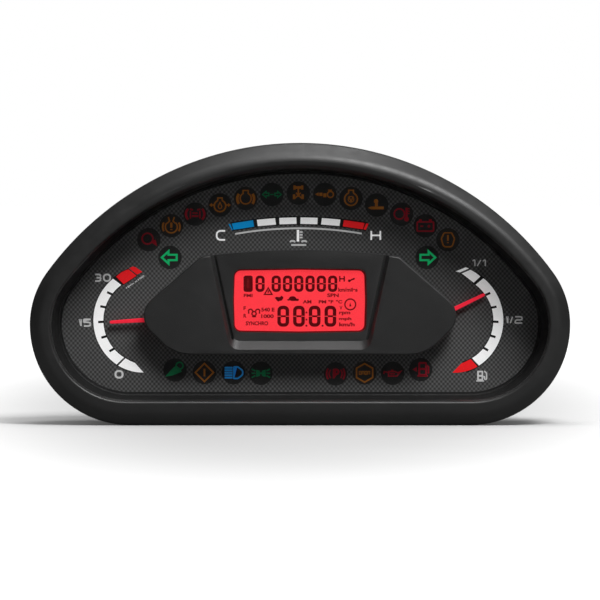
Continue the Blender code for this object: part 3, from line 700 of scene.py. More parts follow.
def pod_cutters(outline):
    """The pod's hollow, its recess with the grooves, whose walls are painted black as shade, its window and
    the slots for the pointers.
    """
    floor = WINDOW_FRONT
    slot_front = -0.0188
    sides = ((-1, "left"), (1, "right"))
    wall = inset_loop(outline, 0.0016)
    made = [new_cutter("pod_hollow", [(wall, floor + 0.0014), (wall, POD_FOOT + 0.001)])]
    recess = [(recess_outline(0.0378, 0.0365), POD_FRONT - 0.001), (recess_outline(0.0432, 0.0355), floor)]
    made.append(new_cutter("pod_recess", recess))
    inner, outer, lean = 0.0343, 0.0355, SPREAD * 0.055
    for side, name in sides:
        corners = [(inner, 0.0440), (outer, 0.0436), (outer + lean, 0.0986), (inner + lean, 0.0986)]
        groove = [(side * x, z) for x, z in corners]
        # Index 1 gives the groove walls the black slot: painted shade over their real shadow
        made.append(new_cutter(f"pod_groove_{name}", [(groove, floor - 0.001), (groove, floor + 0.0011)], 1))
    window = window_outline()
    made.append(new_cutter("pod_window", [(window, floor - 0.001), (window, floor + 0.002)]))
    for side, name in sides:
        low_x, high_x = sorted((side * 0.0600, side * 0.0900))
        slot = box_outline(low_x, high_x, 0.030, 0.086, 0.0005, 2)
        made.append(new_cutter(f"pod_slot_{name}", [(slot, slot_front), (slot, POD_FOOT + 0.001)]))
    return made


def apply_modifiers(thing):
    """Replaces an object's mesh with what its modifiers make."""
    bpy.context.view_layer.update()
    evaluated = thing.evaluated_get(bpy.context.evaluated_depsgraph_get())
    mesh = bpy.data.meshes.new_from_object(evaluated)
    old = thing.data
    thing.modifiers.clear()
    thing.data = mesh
    bpy.data.meshes.remove(old)


# Dial prints


def glyph(mark, centre, width, height, ink, weight):
    """One squarish dial character, drawn with strokes inside its box."""
    radius = 0.28 * height
    paths = {
        "0": [[(0, 0, 2), (1, 0, 2), (1, 1, 2), (0, 1, 2)]],
        "1": [[(0, 0.82, 0), (0.55, 1, 0.2), (1, 1, 0.4), (1, 0, 0)]],
        "2": [[(0, 1, 0), (1, 1, 1), (1, 0.5, 1), (0, 0.5, 1), (0, 0, 0.4), (1, 0, 0)]],
        "3": [
            [(0, 1, 0), (1, 1, 1), (1, 0.5, 0.6), (0.25, 0.5, 0)],
            [(0.85, 0.5, 0), (1, 0.5, 0.6), (1, 0, 1), (0, 0, 0)],
        ],
        "5": [[(1, 1, 0), (0, 1, 0.3), (0, 0.56, 0.3), (1, 0.56, 1), (1, 0, 1), (0, 0, 0)]],
        "/": [[(0, 0, 0), (1, 1, 0)]],
        "C": [[(1, 1, 0), (0, 1, 1.4), (0, 0, 1.4), (1, 0, 0)]],
        "H": [[(0, 1, 0), (0, 0, 0)], [(1, 1, 0), (1, 0, 0)], [(0.05, 0.5, 0), (0.95, 0.5, 0)]],
    }
    inner_width = width - weight
    inner_height = height - weight
    for path in paths[mark]:
        closed = mark == "0"
        points = []
        for x, z, round_share in path:
            spot_x = centre[0] + (x - 0.5) * inner_width
            spot_z = centre[1] + (z - 0.5) * inner_height
            limit = 0.46 * min(inner_width, inner_height)
            points.append((spot_x, spot_z, min(radius * round_share, limit)))
        ink.line(soften(points, 6, closed), weight, closed)


def word(text, low_x, high_x, low_z, high_z, ink, weight, shares):
    """A row of glyphs in a box. shares are the widths of the glyphs, in parts of the whole."""
    gap = 0.16 * (high_z - low_z)
    room = high_x - low_x - gap * (len(text) - 1)
    left = low_x
    for mark, share in zip(text, shares):
        width = room * share / sum(shares)
        glyph(mark, (left + width / 2, (low_z + high_z) / 2), width, high_z - low_z, ink, weight)
        left += width + gap


class Scale:
    """One gauge's scale, drawn as on the right side. The left one is mirrored."""

    # Where the ticks are, seen from the pivot, and half the gap between the band and its ends
    TICKS_DEG = [-44.3 + 13.77 * index for index in range(1, 6)]
    CUT = 0.0005

    def __init__(self, side, centre, inner, outer, ends_deg, tip, block, sliver):
        self.side = side
        self.centre = centre
        self.ends_deg = ends_deg
        self.inner = inner
        self.outer = outer
        self.tip = tip
        self.block = block
        self.sliver = sliver

    def on_side(self, points):
        return points if self.side > 0 else mirrored(points)

    def from_centre(self, spot):
        """A point's direction in degrees and its distance, from the scale's centre."""
        across, up = spot[0] - self.centre[0], spot[1] - self.centre[1]
        return math.degrees(math.atan2(up, across)), math.hypot(across, up)

    def where_ray_meets(self, angle_deg, radius):
        """The angle on a scale circle where a ray from the gauge's pivot crosses it."""
        low, high = 0.0, 0.06
        for _ in range(40):
            middle = (low + high) / 2
            reach = self.from_centre(around(PIVOT, angle_deg, middle))[1]
            low, high = (middle, high) if reach < radius else (low, middle)
        return self.from_centre(around(PIVOT, angle_deg, low))[0]

    def cut(self, angle_deg, radius, side):
        """The angle where one side of a cut along a ray crosses a scale circle."""
        return self.where_ray_meets(angle_deg, radius) + side * math.degrees(self.CUT / self.outer)

    def edge(self, radius, start_deg, end_deg, end_radius=None, steps=36):
        """A line at a radius between two angles, which may change its radius on the way."""
        points = []
        for step in range(steps + 1):
            share = step / steps
            reach = radius + ((end_radius or radius) - radius) * share**1.5
            points.append(around(self.centre, start_deg + (end_deg - start_deg) * share, reach))
        return points

    def band(self):
        """The main band, between the cuts at its two ends."""
        low, high = self.ends_deg
        outer = self.edge(self.outer, self.cut(low, self.outer, 1), self.cut(high, self.outer, -1))
        return outer + self.edge(self.inner, self.cut(high, self.inner, -1), self.cut(low, self.inner, 1))

    def lower_tip(self):
        """The tapered end below the main band."""
        low = self.ends_deg[0]
        tip_deg, tip_radius = self.from_centre(self.tip)
        outer = self.edge(self.outer, self.cut(low, self.outer, -1), tip_deg, tip_radius, 14)
        inner = self.edge(self.inner, self.cut(low, self.inner, -1), tip_deg + 12.0, self.inner + 0.0003, 8)
        return outer + list(reversed(inner))

    def draw_backing(self, backing):
        """A dark line that shows as a thin edge around the band and its block."""
        middle = (self.inner + self.outer) / 2
        backing.line(self.on_side(self.edge(middle, -72.0, 58.0)), self.outer - self.inner + 0.0009)
        backing.line(self.on_side(self.block), 0.0007, closed=True)

    def draw(self, band, top, low, marks):
        band.fill(self.on_side(self.band()))
        low.fill(self.on_side(self.lower_tip()))
        top.fill(self.on_side(self.block))
        top.fill(self.on_side(self.sliver))
        for angle_deg in self.TICKS_DEG:
            start = Vector(around(self.centre, self.where_ray_meets(angle_deg, self.inner), self.inner))
            along = (start - Vector(PIVOT)).normalized()
            points = [tuple(start - along * 0.0005), tuple(start + along * 0.0027)]
            marks.line(self.on_side(points), 0.0012)


SCALES = (
    Scale(
        -1,
        (0.0793, 0.0538),
        0.0228,
        0.0280,
        (-44.3, 38.3),
        (0.0812, 0.0266),
        [(0.0848, 0.0770), (0.0915, 0.0726), (0.0955, 0.0765), (0.0926, 0.0789), (0.0891, 0.0804)],
        [(0.0818, 0.0790), (0.0846, 0.0776), (0.0886, 0.0809), (0.0868, 0.0818), (0.0852, 0.0814)],
    ),
    Scale(
        1,
        (0.0778, 0.0538),
        0.0231,
        0.0283,
        (-47.0, 40.0),
        (0.0796, 0.0265),
        [(0.0844, 0.0782), (0.0907, 0.0734), (0.0941, 0.0766), (0.0919, 0.0784), (0.0890, 0.0801)],
        [(0.0813, 0.0793), (0.0835, 0.0787), (0.0882, 0.0808), (0.0865, 0.0814)],
    ),
)


def coolant_bar(white, red, blue, grey):
    """The blocks between C and H, over a thin line. Their upper corners lean away from the middle."""
    inner, outer, rule = 0.1928, 0.1962, 0.1905

    def block(ink, low_x, high_x, lean_low, lean_high):
        corners = [(low_x, inner), (high_x, inner), (high_x + lean_high, outer), (low_x + lean_low, outer)]
        ink.fill([(x, COOLANT_CENTRE[1] + math.sqrt(radius**2 - x**2)) for x, radius in corners])

    for low_x, high_x in ((-0.0217, -0.0122), (-0.0104, -0.0015), (0.0004, 0.0093), (0.0112, 0.0208)):
        lean = 0.03 * (low_x + high_x) / 2
        block(white, low_x, high_x, lean, lean)
    block(blue, -0.0343, -0.0236, -0.0010, -0.0006)
    block(blue, -0.0352, -0.0347, -0.0018, -0.0014)
    block(red, 0.0225, 0.0329, 0.0006, 0.0010)
    block(red, 0.0333, 0.0346, 0.0014, 0.0014)
    start_deg = math.degrees(math.acos(0.0324 / rule))
    end_deg = math.degrees(math.acos(-0.0335 / rule))
    grey.line(arc(COOLANT_CENTRE, rule, start_deg, end_deg, 32), 0.0009)
    glyph("C", (-0.0409, 0.0980), 0.0053, 0.0056, white, 0.0009)
    glyph("H", (0.0397, 0.0980), 0.0056, 0.0056, white, 0.0009)
    thermometer(white, grey)


def thermometer(white, grey):
    """The coolant sign: a thermometer standing in waves."""
    white.line([(-0.0008, 0.0948), (-0.0008, 0.1009)], 0.0013)
    for index in range(3):
        height = 0.0969 + 0.0014 * index
        grey.line([(0.0001, height), (0.0016, height)], 0.0009)
    grey.line([(-0.0043, 0.0930), (0.0035, 0.0930)], 0.0009)
    for side in (-1, 1):
        middle = -0.0006 + side * 0.0030
        wave = ((-0.0014, 0.0946), (-0.0006, 0.0951), (0.0006, 0.0951), (0.0014, 0.0946))
        grey.line([(middle + x, z) for x, z in wave], 0.0009)


def fuel_pump(ink):
    """The pump sign below the fuel scale."""
    body = box_outline(0.0925, 0.0956, 0.0225, 0.0275, 0.0004)
    window = box_outline(0.0934, 0.0948, 0.0253, 0.0267, 0.0002)
    panel = box_outline(0.0934, 0.0948, 0.0232, 0.0244, 0.0002)
    ink.fill(body, window, panel)
    ink.line([(0.0920, 0.0222), (0.0961, 0.0222)], 0.0006)
    hose = [(0.0957, 0.0245, 0), (0.0964, 0.0245, 0.0003), (0.0964, 0.0230, 0.0004), (0.0974, 0.0230, 0.0004)]
    hose += [(0.0974, 0.0262, 0.0004), (0.0962, 0.0274, 0)]
    ink.line(soften(hose, 4, closed=False), 0.0007)


def dial_prints():
    backing = Print("scale_backing", "mark", DIAL - PRINT_LIFT)
    back = backing.front - PRINT_LIFT
    white = Print("scale_white", "white_print", back)
    red = Print("scale_red", "red_print", back)
    blue = Print("scale_blue", "blue_print", back)
    grey = Print("scale_grey", "grey_print", back)
    marks = Print("scale_marks", "mark", white.front - PRINT_LIFT)
    SCALES[0].draw(white, red, white, marks)
    SCALES[1].draw(white, white, red, marks)
    for scale in SCALES:
        scale.draw_backing(backing)
    backing.line(arc(COOLANT_CENTRE, 0.1945, 79.6, 100.5, 32), 0.0046)
    coolant_bar(white, red, blue, grey)
    weight = 0.00085
    word("30", -0.1068, -0.0981, 0.0738, 0.0781, grey, weight, (0.9, 1))
    word("15", -0.1149, -0.1083, 0.0504, 0.0547, grey, weight, (0.36, 1))
    word("0", -0.0963, -0.0916, 0.0234, 0.0279, grey, 0.0010, (1,))
    word("1/1", 0.0898, 0.0970, 0.0817, 0.0855, grey, 0.0006, (0.4, 0.55, 0.4))
    word("1/2", 0.1076, 0.1163, 0.0520, 0.0560, grey, 0.0007, (0.26, 0.42, 1))
    grey.text("rpm x100", -0.0912, -0.0798, 0.0731, 0.0743, 34.0)
    fuel_pump(grey)
    for layer in (backing, white, red, blue, grey, marks):
        layer.finish()


# Telltales


TELLTALE_RADIUS = 0.0056
DISC_RADIUS = 0.0061


class Sign:
    """Draws a telltale's sign in its own frame: (0, 0) is the middle and 1 is the disc's edge."""

    def __init__(self, ink, centre):
        self.ink = ink
        self.centre = centre

    def at(self, points):
        x, z = self.centre
        return [(x + right * TELLTALE_RADIUS, z + up * TELLTALE_RADIUS) for right, up in points]

    def line(self, points, width=0.13, closed=False):
        self.ink.line(self.at(points), width * TELLTALE_RADIUS, closed)

    def fill(self, points):
        self.ink.fill(self.at(points))

    def arc(self, x, z, radius, start_deg, end_deg, width=0.13):
        self.line(arc((x, z), radius, start_deg, end_deg, 14), width)

    def ring(self, x, z, radius, width=0.13):
        self.line(circle((x, z), radius, 28), width, closed=True)

    def disc(self, x, z, radius):
        self.fill(circle((x, z), radius, 20))

    def bracket(self, side, x, z, radius, half_deg, width):
        middle_deg = 90 - side * 90
        self.arc(x, z, radius, middle_deg - half_deg, middle_deg + half_deg, width)

    def neck(self, half, low, high):
        self.line([(-half, low), (-half, high), (half, high), (half, low)], 0.12)

    def box(self, low_x, high_x, low_z, high_z, width=0.13):
        self.line(box_outline(low_x, high_x, low_z, high_z, 0.08, 3), width, closed=True)

    def bar(self, low_x, high_x, low_z, high_z):
        self.fill([(low_x, low_z), (high_x, low_z), (high_x, high_z), (low_x, high_z)])

    def exclamation(self, low=-0.32, high=0.36, width=0.16):
        self.line([(0.0, high), (0.0, low + 0.22)], width)
        self.line([(0.0, low + 0.10), (0.0, low)], width)


def sign_air_filter(sign):
    sign.ring(-0.12, 0.10, 0.50)
    sign.fill([(0.22, -0.22), (0.62, 0.02), (0.78, -0.62)])
    sign.disc(0.40, -0.18, 0.16)


def sign_gearbox_fault(sign):
    sign.arc(0.0, -0.10, 0.56, 140, 400)
    sign.exclamation(low=-0.40, high=0.30, width=0.20)
    for side in (-1, 1):
        sign.line([(side * 0.40, 0.22), (side * 0.16, 0.44), (side * 0.28, 0.82)], 0.12)
        sign.bracket(side, 0.0, -0.10, 0.80, 30, 0.16)


def sign_brake_assist(sign):
    for side in (-1, 1):
        sign.bracket(side, side * 0.20, 0.0, 0.66, 48, 0.20)
        sign.line([(side * 0.48, 0.46), (side * 0.20, 0.40)], 0.14)
        sign.line([(side * 0.44, -0.40), (side * 0.44, 0.28)], 0.12)
    sign.line([(-0.30, -0.18), (0.30, -0.18)], 0.16)
    sign.line([(-0.24, 0.10), (0.24, 0.10)], 0.12)


def sign_gearbox_oil(sign):
    sign.arc(0.0, -0.08, 0.54, 112, 428)
    sign.neck(0.20, 0.42, 0.66)
    drop = [(0.0, 0.24), (0.17, -0.12), (0.12, -0.28), (0.0, -0.34), (-0.12, -0.28), (-0.17, -0.12)]
    sign.line(drop, 0.09, closed=True)
    for side in (-1, 1):
        sign.line([(side * 0.54, 0.0), (side * 0.92, 0.0)], 0.12)
        sign.line([(side * 0.76, 0.14), (side * 0.92, 0.0), (side * 0.76, -0.14)], 0.10)


def sign_clutch(sign):
    sign.arc(0.0, 0.0, 0.52, 110, 430, 0.12)
    sign.neck(0.24, 0.46, 0.74)
    for side in (-1, 1):
        sign.bracket(side, 0.0, -0.04, 0.78, 36, 0.24)


def arrow_outline(middle, tip, tail, half_head, half_shaft, neck):
    """An arrow from tail to tip along X, about a middle height."""
    return [
        (tip, middle),
        (neck, middle + half_head),
        (neck, middle + half_shaft),
        (tail, middle + half_shaft),
        (tail, middle - half_shaft),
        (neck, middle - half_shaft),
        (neck, middle - half_head),
    ]


def sign_trailer_turn(sign):
    for side in (-1, 1):
        sign.line(arrow_outline(0.0, side * 0.88, side * 0.28, 0.28, 0.12, side * 0.54), 0.10, closed=True)
    sign.line([(-0.16, 0.0), (0.16, 0.0)], 0.10)


def sign_diff_lock(sign):
    sign.line([(-0.36, 0.52), (0.36, 0.52)], 0.24)
    sign.line([(0.0, 0.52), (0.0, -0.34)], 0.14)
    for side in (-1, 1):
        sign.line([(side * 0.36, 0.72), (side * 0.36, 0.32)], 0.20)
        sign.line([(side * 0.40, -0.12), (side * 0.40, -0.56)], 0.22)
        sign.line([(side * 0.36, -0.52), (-side * 0.22, 0.02)], 0.12)


def sign_hitch(sign):
    sign.fill([(-0.90, 0.02), (-0.58, 0.20), (-0.58, -0.16)])
    sign.bar(-0.50, -0.22, -0.14, 0.16)
    sign.bar(-0.14, 0.14, -0.26, 0.10)
    sign.ring(0.52, 0.0, 0.28, 0.12)
    sign.line([(0.30, 0.40), (0.66, 0.40)], 0.10)


def sign_gear_low(sign):
    sign.arc(0.0, -0.06, 0.60, 112, 428)
    sign.neck(0.22, 0.50, 0.76)
    sign.line([(-0.20, 0.20), (0.0, -0.30), (0.20, 0.20)], 0.10)
    sign.ring(0.0, -0.08, 0.26, 0.08)


def sign_seat(sign):
    sign.disc(-0.06, 0.36, 0.20)
    sign.bar(-0.16, 0.10, -0.12, 0.30)
    sign.bar(-0.44, 0.66, -0.40, -0.14)
    sign.fill([(-0.82, -0.26), (-0.46, -0.12), (-0.46, -0.42)])


def sign_oil_heat(sign):
    sign.ring(-0.20, 0.02, 0.48)
    sign.line([(0.46, 0.60), (0.46, -0.34)], 0.18)
    sign.disc(0.46, -0.46, 0.22)
    for height in (0.06, 0.28, 0.50):
        sign.line([(0.56, height), (0.74, height)], 0.09)


def sign_battery(sign):
    sign.box(-0.76, 0.76, -0.50, 0.36)
    for side in (-1, 1):
        sign.line([(side * 0.46, 0.42), (side * 0.46, 0.60)], 0.26)
        sign.line([(side * 0.46, -0.04), (side * 0.20, -0.04)], 0.11)
    sign.line([(0.33, -0.17), (0.33, 0.09)], 0.11)


def sign_tyre(sign):
    right = [(0.40, -0.66, 0.3), (0.62, 0.10, 0.3), (0.34, 0.64, 0)]
    sign.line(soften(mirrored(right) + right, 6, False))
    sign.line([(-0.34, 0.64), (0.34, 0.64)], 0.10)
    sign.exclamation(high=0.44)


def sign_turn(sign, side):
    sign.line(arrow_outline(0.0, side * 0.76, -side * 0.62, 0.57, 0.25, side * 0.14), 0.19, closed=True)


def sign_work_light(sign):
    sign.ring(0.42, 0.40, 0.32, 0.13)
    sign.fill([(0.10, 0.44), (0.52, 0.08), (0.62, -0.16), (-0.20, -0.50), (-0.92, -0.62), (-0.40, -0.02)])


def sign_diamond(sign):
    sign.line([(0.0, -0.84), (0.84, 0.0), (0.0, 0.84), (-0.84, 0.0)], 0.14, closed=True)
    sign.line([(0.0, -0.36), (0.0, 0.36)], 0.16)


def sign_high_beam(sign):
    lamp = [(0.02, 0.54, 0), (0.02, -0.54, 0.05), (0.40, -0.54, 0.2), (0.86, -0.20, 0.3)]
    lamp += [(0.86, 0.20, 0.3), (0.40, 0.54, 0.2), (0.02, 0.54, 0)]
    sign.line(soften(lamp, 5, False), 0.14)
    for index in range(5):
        height = -0.46 + 0.23 * index
        sign.line([(-0.82, height), (-0.10, height)], 0.17)


def sign_side_lights(sign):
    for side in (-1, 1):
        sign.fill([(side * 0.10, 0.24), (side * 0.10, -0.24), (side * 0.44, -0.34), (side * 0.44, 0.34)])
        for slope in (-1, 0, 1):
            sign.line([(side * 0.52, slope * 0.22), (side * 0.86, slope * 0.40)], 0.13)
    sign.line([(-0.12, 0.0), (0.12, 0.0)], 0.16)


def sign_parking(sign):
    for side in (-1, 1):
        sign.bracket(side, -side * 0.10, 0.0, 0.94, 32, 0.15)
        sign.bracket(side, 0.0, 0.0, 0.60, 40, 0.12)
    letter = [(-0.18, -0.42, 0), (-0.18, 0.40, 0.05), (0.26, 0.40, 0.18)]
    letter += [(0.26, -0.02, 0.18), (-0.14, -0.02, 0)]
    sign.line(soften(letter, 4, False), 0.17)


def sign_stop(sign):
    corners = [(0.0, 0.86), (0.75, 0.43), (0.75, -0.43), (0.0, -0.86), (-0.75, -0.43), (-0.75, 0.43)]
    sign.line(corners, 0.14, closed=True)
    for index in range(4):
        low = -0.50 + 0.27 * index
        letter = [(low, -0.14), (low, 0.14), (low + 0.17, 0.14), (low + 0.17, -0.14)]
        sign.line(letter, 0.08, closed=index in (0, 2))


def sign_oil_can(sign):
    body = [(-0.38, 0.16), (0.22, 0.16), (0.48, 0.04), (0.80, 0.20), (0.40, -0.26), (-0.38, -0.26)]
    sign.line(body, 0.12, closed=True)
    sign.line([(-0.44, 0.08), (-0.78, 0.16), (-0.82, -0.06)], 0.11)
    sign.line([(-0.14, 0.28), (0.06, 0.28)], 0.11)
    sign.line([(-0.24, -0.05), (0.22, -0.05)], 0.10)


def sign_pump_fault(sign):
    sign.box(-0.14, 0.50, -0.50, 0.62, 0.17)
    sign.line([(-0.10, 0.06), (0.46, 0.06)], 0.18)
    sign.line([(-0.30, -0.58), (0.66, -0.58)], 0.14)
    sign.line([(0.56, 0.40), (0.72, 0.26), (0.72, -0.36)], 0.14)
    sign.fill([(-0.76, 0.02), (-0.36, 0.26), (-0.36, -0.22)])


def telltale_row():
    """Each telltale's centre, colour and sign, left to right."""
    arc_signs = [
        ("red", sign_air_filter),
        ("orange", sign_gearbox_fault),
        ("red", sign_brake_assist),
        ("orange", sign_gearbox_oil),
        ("orange", sign_clutch),
        ("green", sign_trailer_turn),
        ("orange", sign_diff_lock),
        ("orange", sign_hitch),
        ("orange", sign_gear_low),
        ("orange", sign_seat),
        ("red", sign_oil_heat),
        ("red", sign_battery),
        ("orange", sign_tyre),
    ]
    arc_centre, arc_radius, pitch_deg = (-0.0006, -0.017), 0.137, 5.77
    row = []
    for index, (color, draw) in enumerate(arc_signs):
        turn_deg = pitch_deg * ((len(arc_signs) - 1) / 2 - index)
        row.append((around(arc_centre, 90 + turn_deg, arc_radius), color, draw))
    return row + [
        ((-0.0674, 0.0865), "lit", lambda sign: sign_turn(sign, -1)),
        ((0.0664, 0.0865), "lit", lambda sign: sign_turn(sign, 1)),
        ((-0.0648, 0.0279), "green", sign_work_light),
        ((-0.0495, 0.0266), "orange", sign_diamond),
        ((-0.0344, 0.0265), "blue", sign_high_beam),
        ((-0.0201, 0.0262), "green", sign_side_lights),
        ((0.0188, 0.0259), "red", sign_parking),
        ((0.0339, 0.0264), "orange", sign_stop),
        ((0.0485, 0.0262), "red", sign_oil_can),
        ((0.0631, 0.0281), "red", sign_pump_fault),
    ]


def telltales():
    discs = Print("telltale_windows", "disc", DIAL - PRINT_LIFT)
    inks = {}
    for color in ("red", "orange", "green", "blue", "lit"):
        inks[color] = Print(f"telltale_{color}", f"lamp_{color}", discs.front - PRINT_LIFT)
    for centre, color, draw in telltale_row():
        discs.fill(circle(centre, DISC_RADIUS, 40))
        draw(Sign(inks[color], centre))
    discs.finish()
    for layer in inks.values():
        layer.finish()


# Display


def digit(ink, low_x, high_x, low_z, high_z, weight):
    """A seven-segment eight: an upper and a lower cup, and a thinner middle bar."""
    inset = weight / 2
    middle = (low_z + high_z) / 2
    radius = weight * 0.9
    left, right = low_x + inset, high_x - inset
    for side, end in ((1, high_z - inset), (-1, low_z + inset)):
        start = middle + side * weight * 0.10
        cup = [(left, start, 0), (left, end, radius), (right, end, radius), (right, start, 0)]
        ink.line(soften(cup, 4, False), weight)
    ink.line([(left + inset, middle), (right - inset, middle)], weight * 0.55)


def display_digits(ink, faint):
    low, high, width = 0.0687, 0.0772, 0.00480
    hole = box_outline(-0.0274, -0.0260, low + 0.0018, high - 0.0018, 0.0005)
    ink.fill(box_outline(-0.0291, -0.0291 + width, low, high, 0.0012, 5), hole)
    faint.fill(hole)
    for left in [-0.0229] + [-0.0145 + 0.00587 * index for index in range(6)]:
        digit(ink, left, left + width, low, high, 0.00148)
    for index in range(4):
        left = -0.0115 + 0.00817 * index
        digit(ink, left, left + 0.0061, 0.0506, 0.0615, 0.00178)
    for height in (0.0580, 0.0543):
        faint.fill(circle((0.0036, height), 0.0005, 12))
    for x in (0.0036, 0.0120):
        ink.fill(circle((x, 0.0511), 0.0005, 12))


def display_words(ink, faint):
    """The units and terms in the display, each as (text, low x, high x, low z, high z)."""
    glyph("H", (0.0221, 0.0755), 0.0030, 0.0036, ink, 0.0007)
    for lettering in (
        ("km/miles", 0.0202, 0.0302, 0.0688, 0.0709),
        ("FMI", -0.0290, -0.0244, 0.0660, 0.0677),
        ("AM", 0.0017, 0.0062, 0.0627, 0.0645),
        ("PM °F", 0.0100, 0.0176, 0.0627, 0.0645),
        ("°C", 0.0190, 0.0222, 0.0627, 0.0645),
        ("SPN", 0.0144, 0.0204, 0.0660, 0.0679),
        ("V", 0.0208, 0.0223, 0.0595, 0.0614),
        ("rpm", 0.0206, 0.0264, 0.0565, 0.0584),
        ("mph", 0.0206, 0.0270, 0.0536, 0.0556),
        ("km/h", 0.0206, 0.0287, 0.0508, 0.0528),
        ("F", -0.0291, -0.0279, 0.0592, 0.0612),
        ("R", -0.0291, -0.0276, 0.0553, 0.0573),
        ("540 E", -0.0199, -0.0130, 0.0585, 0.0605),
        ("1000", -0.0199, -0.0134, 0.0551, 0.0570),
        ("SYNCHRO", -0.0279, -0.0163, 0.0513, 0.0534),
    ):
        faint.text(*lettering)


def display_signs(ink, faint):
    """The key, warning triangle, hare, tortoise, take-off shaft and clock."""
    ink.fill(circle((0.0259, 0.0745), 0.0007, 12))
    ink.line([(0.0262, 0.0746), (0.0287, 0.0758)], 0.0007)
    ink.line([(0.0281, 0.0755), (0.0283, 0.0748)], 0.0004)
    faint.line([(-0.0182, 0.0674), (-0.0143, 0.0674), (-0.01625, 0.0708)], 0.0007, closed=True)
    faint.line([(-0.01625, 0.0682), (-0.01625, 0.0695)], 0.0007)
    hare = [(-0.0129, 0.0656, 0), (-0.0118, 0.0643, 0.001), (-0.0109, 0.0634, 0.0004)]
    hare += [(-0.0105, 0.0641, 0.0004), (-0.0094, 0.0641, 0.0005), (-0.0086, 0.0650, 0.0006)]
    hare += [(-0.0082, 0.0662, 0.0006), (-0.0088, 0.0663, 0.0003), (-0.0101, 0.0672, 0.0003)]
    hare += [(-0.0096, 0.0660, 0.0004), (-0.0109, 0.0660, 0.0008), (-0.0120, 0.0662, 0.0006)]
    ink.fill(soften(hare, 3))
    belly = 0.0644
    shell = arc((-0.0036, belly), 0.0022, 0, 180, 12)
    ink.fill([(x, belly + (z - belly) * 0.95) for x, z in shell])
    legs = [(-0.0062, 0.0640, 0.0002), (-0.0006, 0.0640, 0.0002), (-0.0002, 0.0651, 0.0004)]
    ink.fill(soften(legs + [(-0.0012, 0.0652, 0.0004)], 3))
    ink.fill(soften([(-0.0070, 0.0647, 0.0002), (-0.0054, 0.0640, 0.0002), (-0.0050, 0.0650, 0.0002)], 3))
    faint.line(circle((0.0264, 0.0622), 0.0028, 32), 0.0007, closed=True)
    ink.fill([(0.0258, 0.0612), (0.0270, 0.0612), (0.0264, 0.0631)])
    shaft = -0.0236
    for side in (-1, 1):
        end = shaft + side * 0.0028
        faint.line(arc((shaft + side * 0.0019, 0.0586), 0.0011, 0, 180, 10), 0.0007)
        faint.line([(end, 0.0586), (end, 0.0574)], 0.0007)
    faint.line(circle((shaft, 0.0574), 0.0011, 20), 0.0007, closed=True)
    faint.line([(shaft - 0.0011, 0.0558), (shaft + 0.0011, 0.0558)], 0.0006)


def display():
    ink = Print("display_segments", "segment", GLASS_FRONT - PRINT_LIFT)
    faint = Print("display_faint_segments", "faint", ink.front - PRINT_LIFT)
    display_digits(ink, faint)
    display_words(ink, faint)
    display_signs(ink, faint)
    # A dark red ring on the display glass along the window's edge: a painted shadow of the window's rim
    faint.line(window_outline(-0.0001), 0.0013, closed=True)
    ink.finish()
    faint.finish()


# Pointers


def pointer(name, body, pivot, rest_deg):
    """A tapered bar with rounded edges on a round hub."""
    front, back = (corner.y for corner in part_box(f"{name}_pointer"))
    blade_back = front + 0.0011
    direction = math.radians(rest_deg)
    along = Vector((math.cos(direction), math.sin(direction)))
    across = Vector((-along.y, along.x))
    build = bmesh.new()
    stations = [(0.0036, 0.00115), (0.0110, 0.00112), (0.0200, 0.00098)]
    stations += [(0.0280, 0.00082), (0.0287, 0.00070), (0.0290, 0.00045)]
    blade = [along * reach + across * half for reach, half in stations]
    blade += [along * reach - across * half for reach, half in reversed(stations)]
    blade = [(pivot[0] + spot.x, pivot[1] + spot.y) for spot in blade]
    bevel = 0.00025
    add_loft(build, [(blade, blade_back), (blade, front + bevel), (inset_loop(blade, -bevel), front)])
    rim, hollow = 0.0042, 0.0012
    hub = [(hollow, front + 0.0004), (hollow, front), (rim - bevel, front)]
    hub += [(rim, front + bevel), (rim, blade_back)]
    add_turned(build, hub, pivot)
    add_turned(build, [(0.0022, blade_back), (0.0022, back)], pivot)
    finish_mesh(f"{name}_needle_bar", build, "pointer", 30, body, [f"{name}_pointer"])


# Back: pins, screw heads and ribs


def connector_pins():
    """Two rows of square pins on the floor of each connector."""
    build = bmesh.new()
    half, taper = 0.0005, 0.00025
    columns, pitch, half_gap = 10, 0.0030, 0.0026
    for name in ("connector_left", "connector_right"):
        low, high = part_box(name)
        foot = high.y - 0.0100
        for column in range(columns):
            for row in (-1, 1):
                x = (low.x + high.x) / 2 + (column - (columns - 1) / 2) * pitch
                z = (low.z + high.z) / 2 + row * half_gap
                pin = box_outline(x - half, x + half, z - half, z + half, 0.0001, 2)
                tip = inset_loop(pin, taper)
                add_loft(build, [(pin, foot), (pin, foot + 0.0062), (tip, foot + 0.0070)])
    finish_mesh("connector_pins", build, "brass")


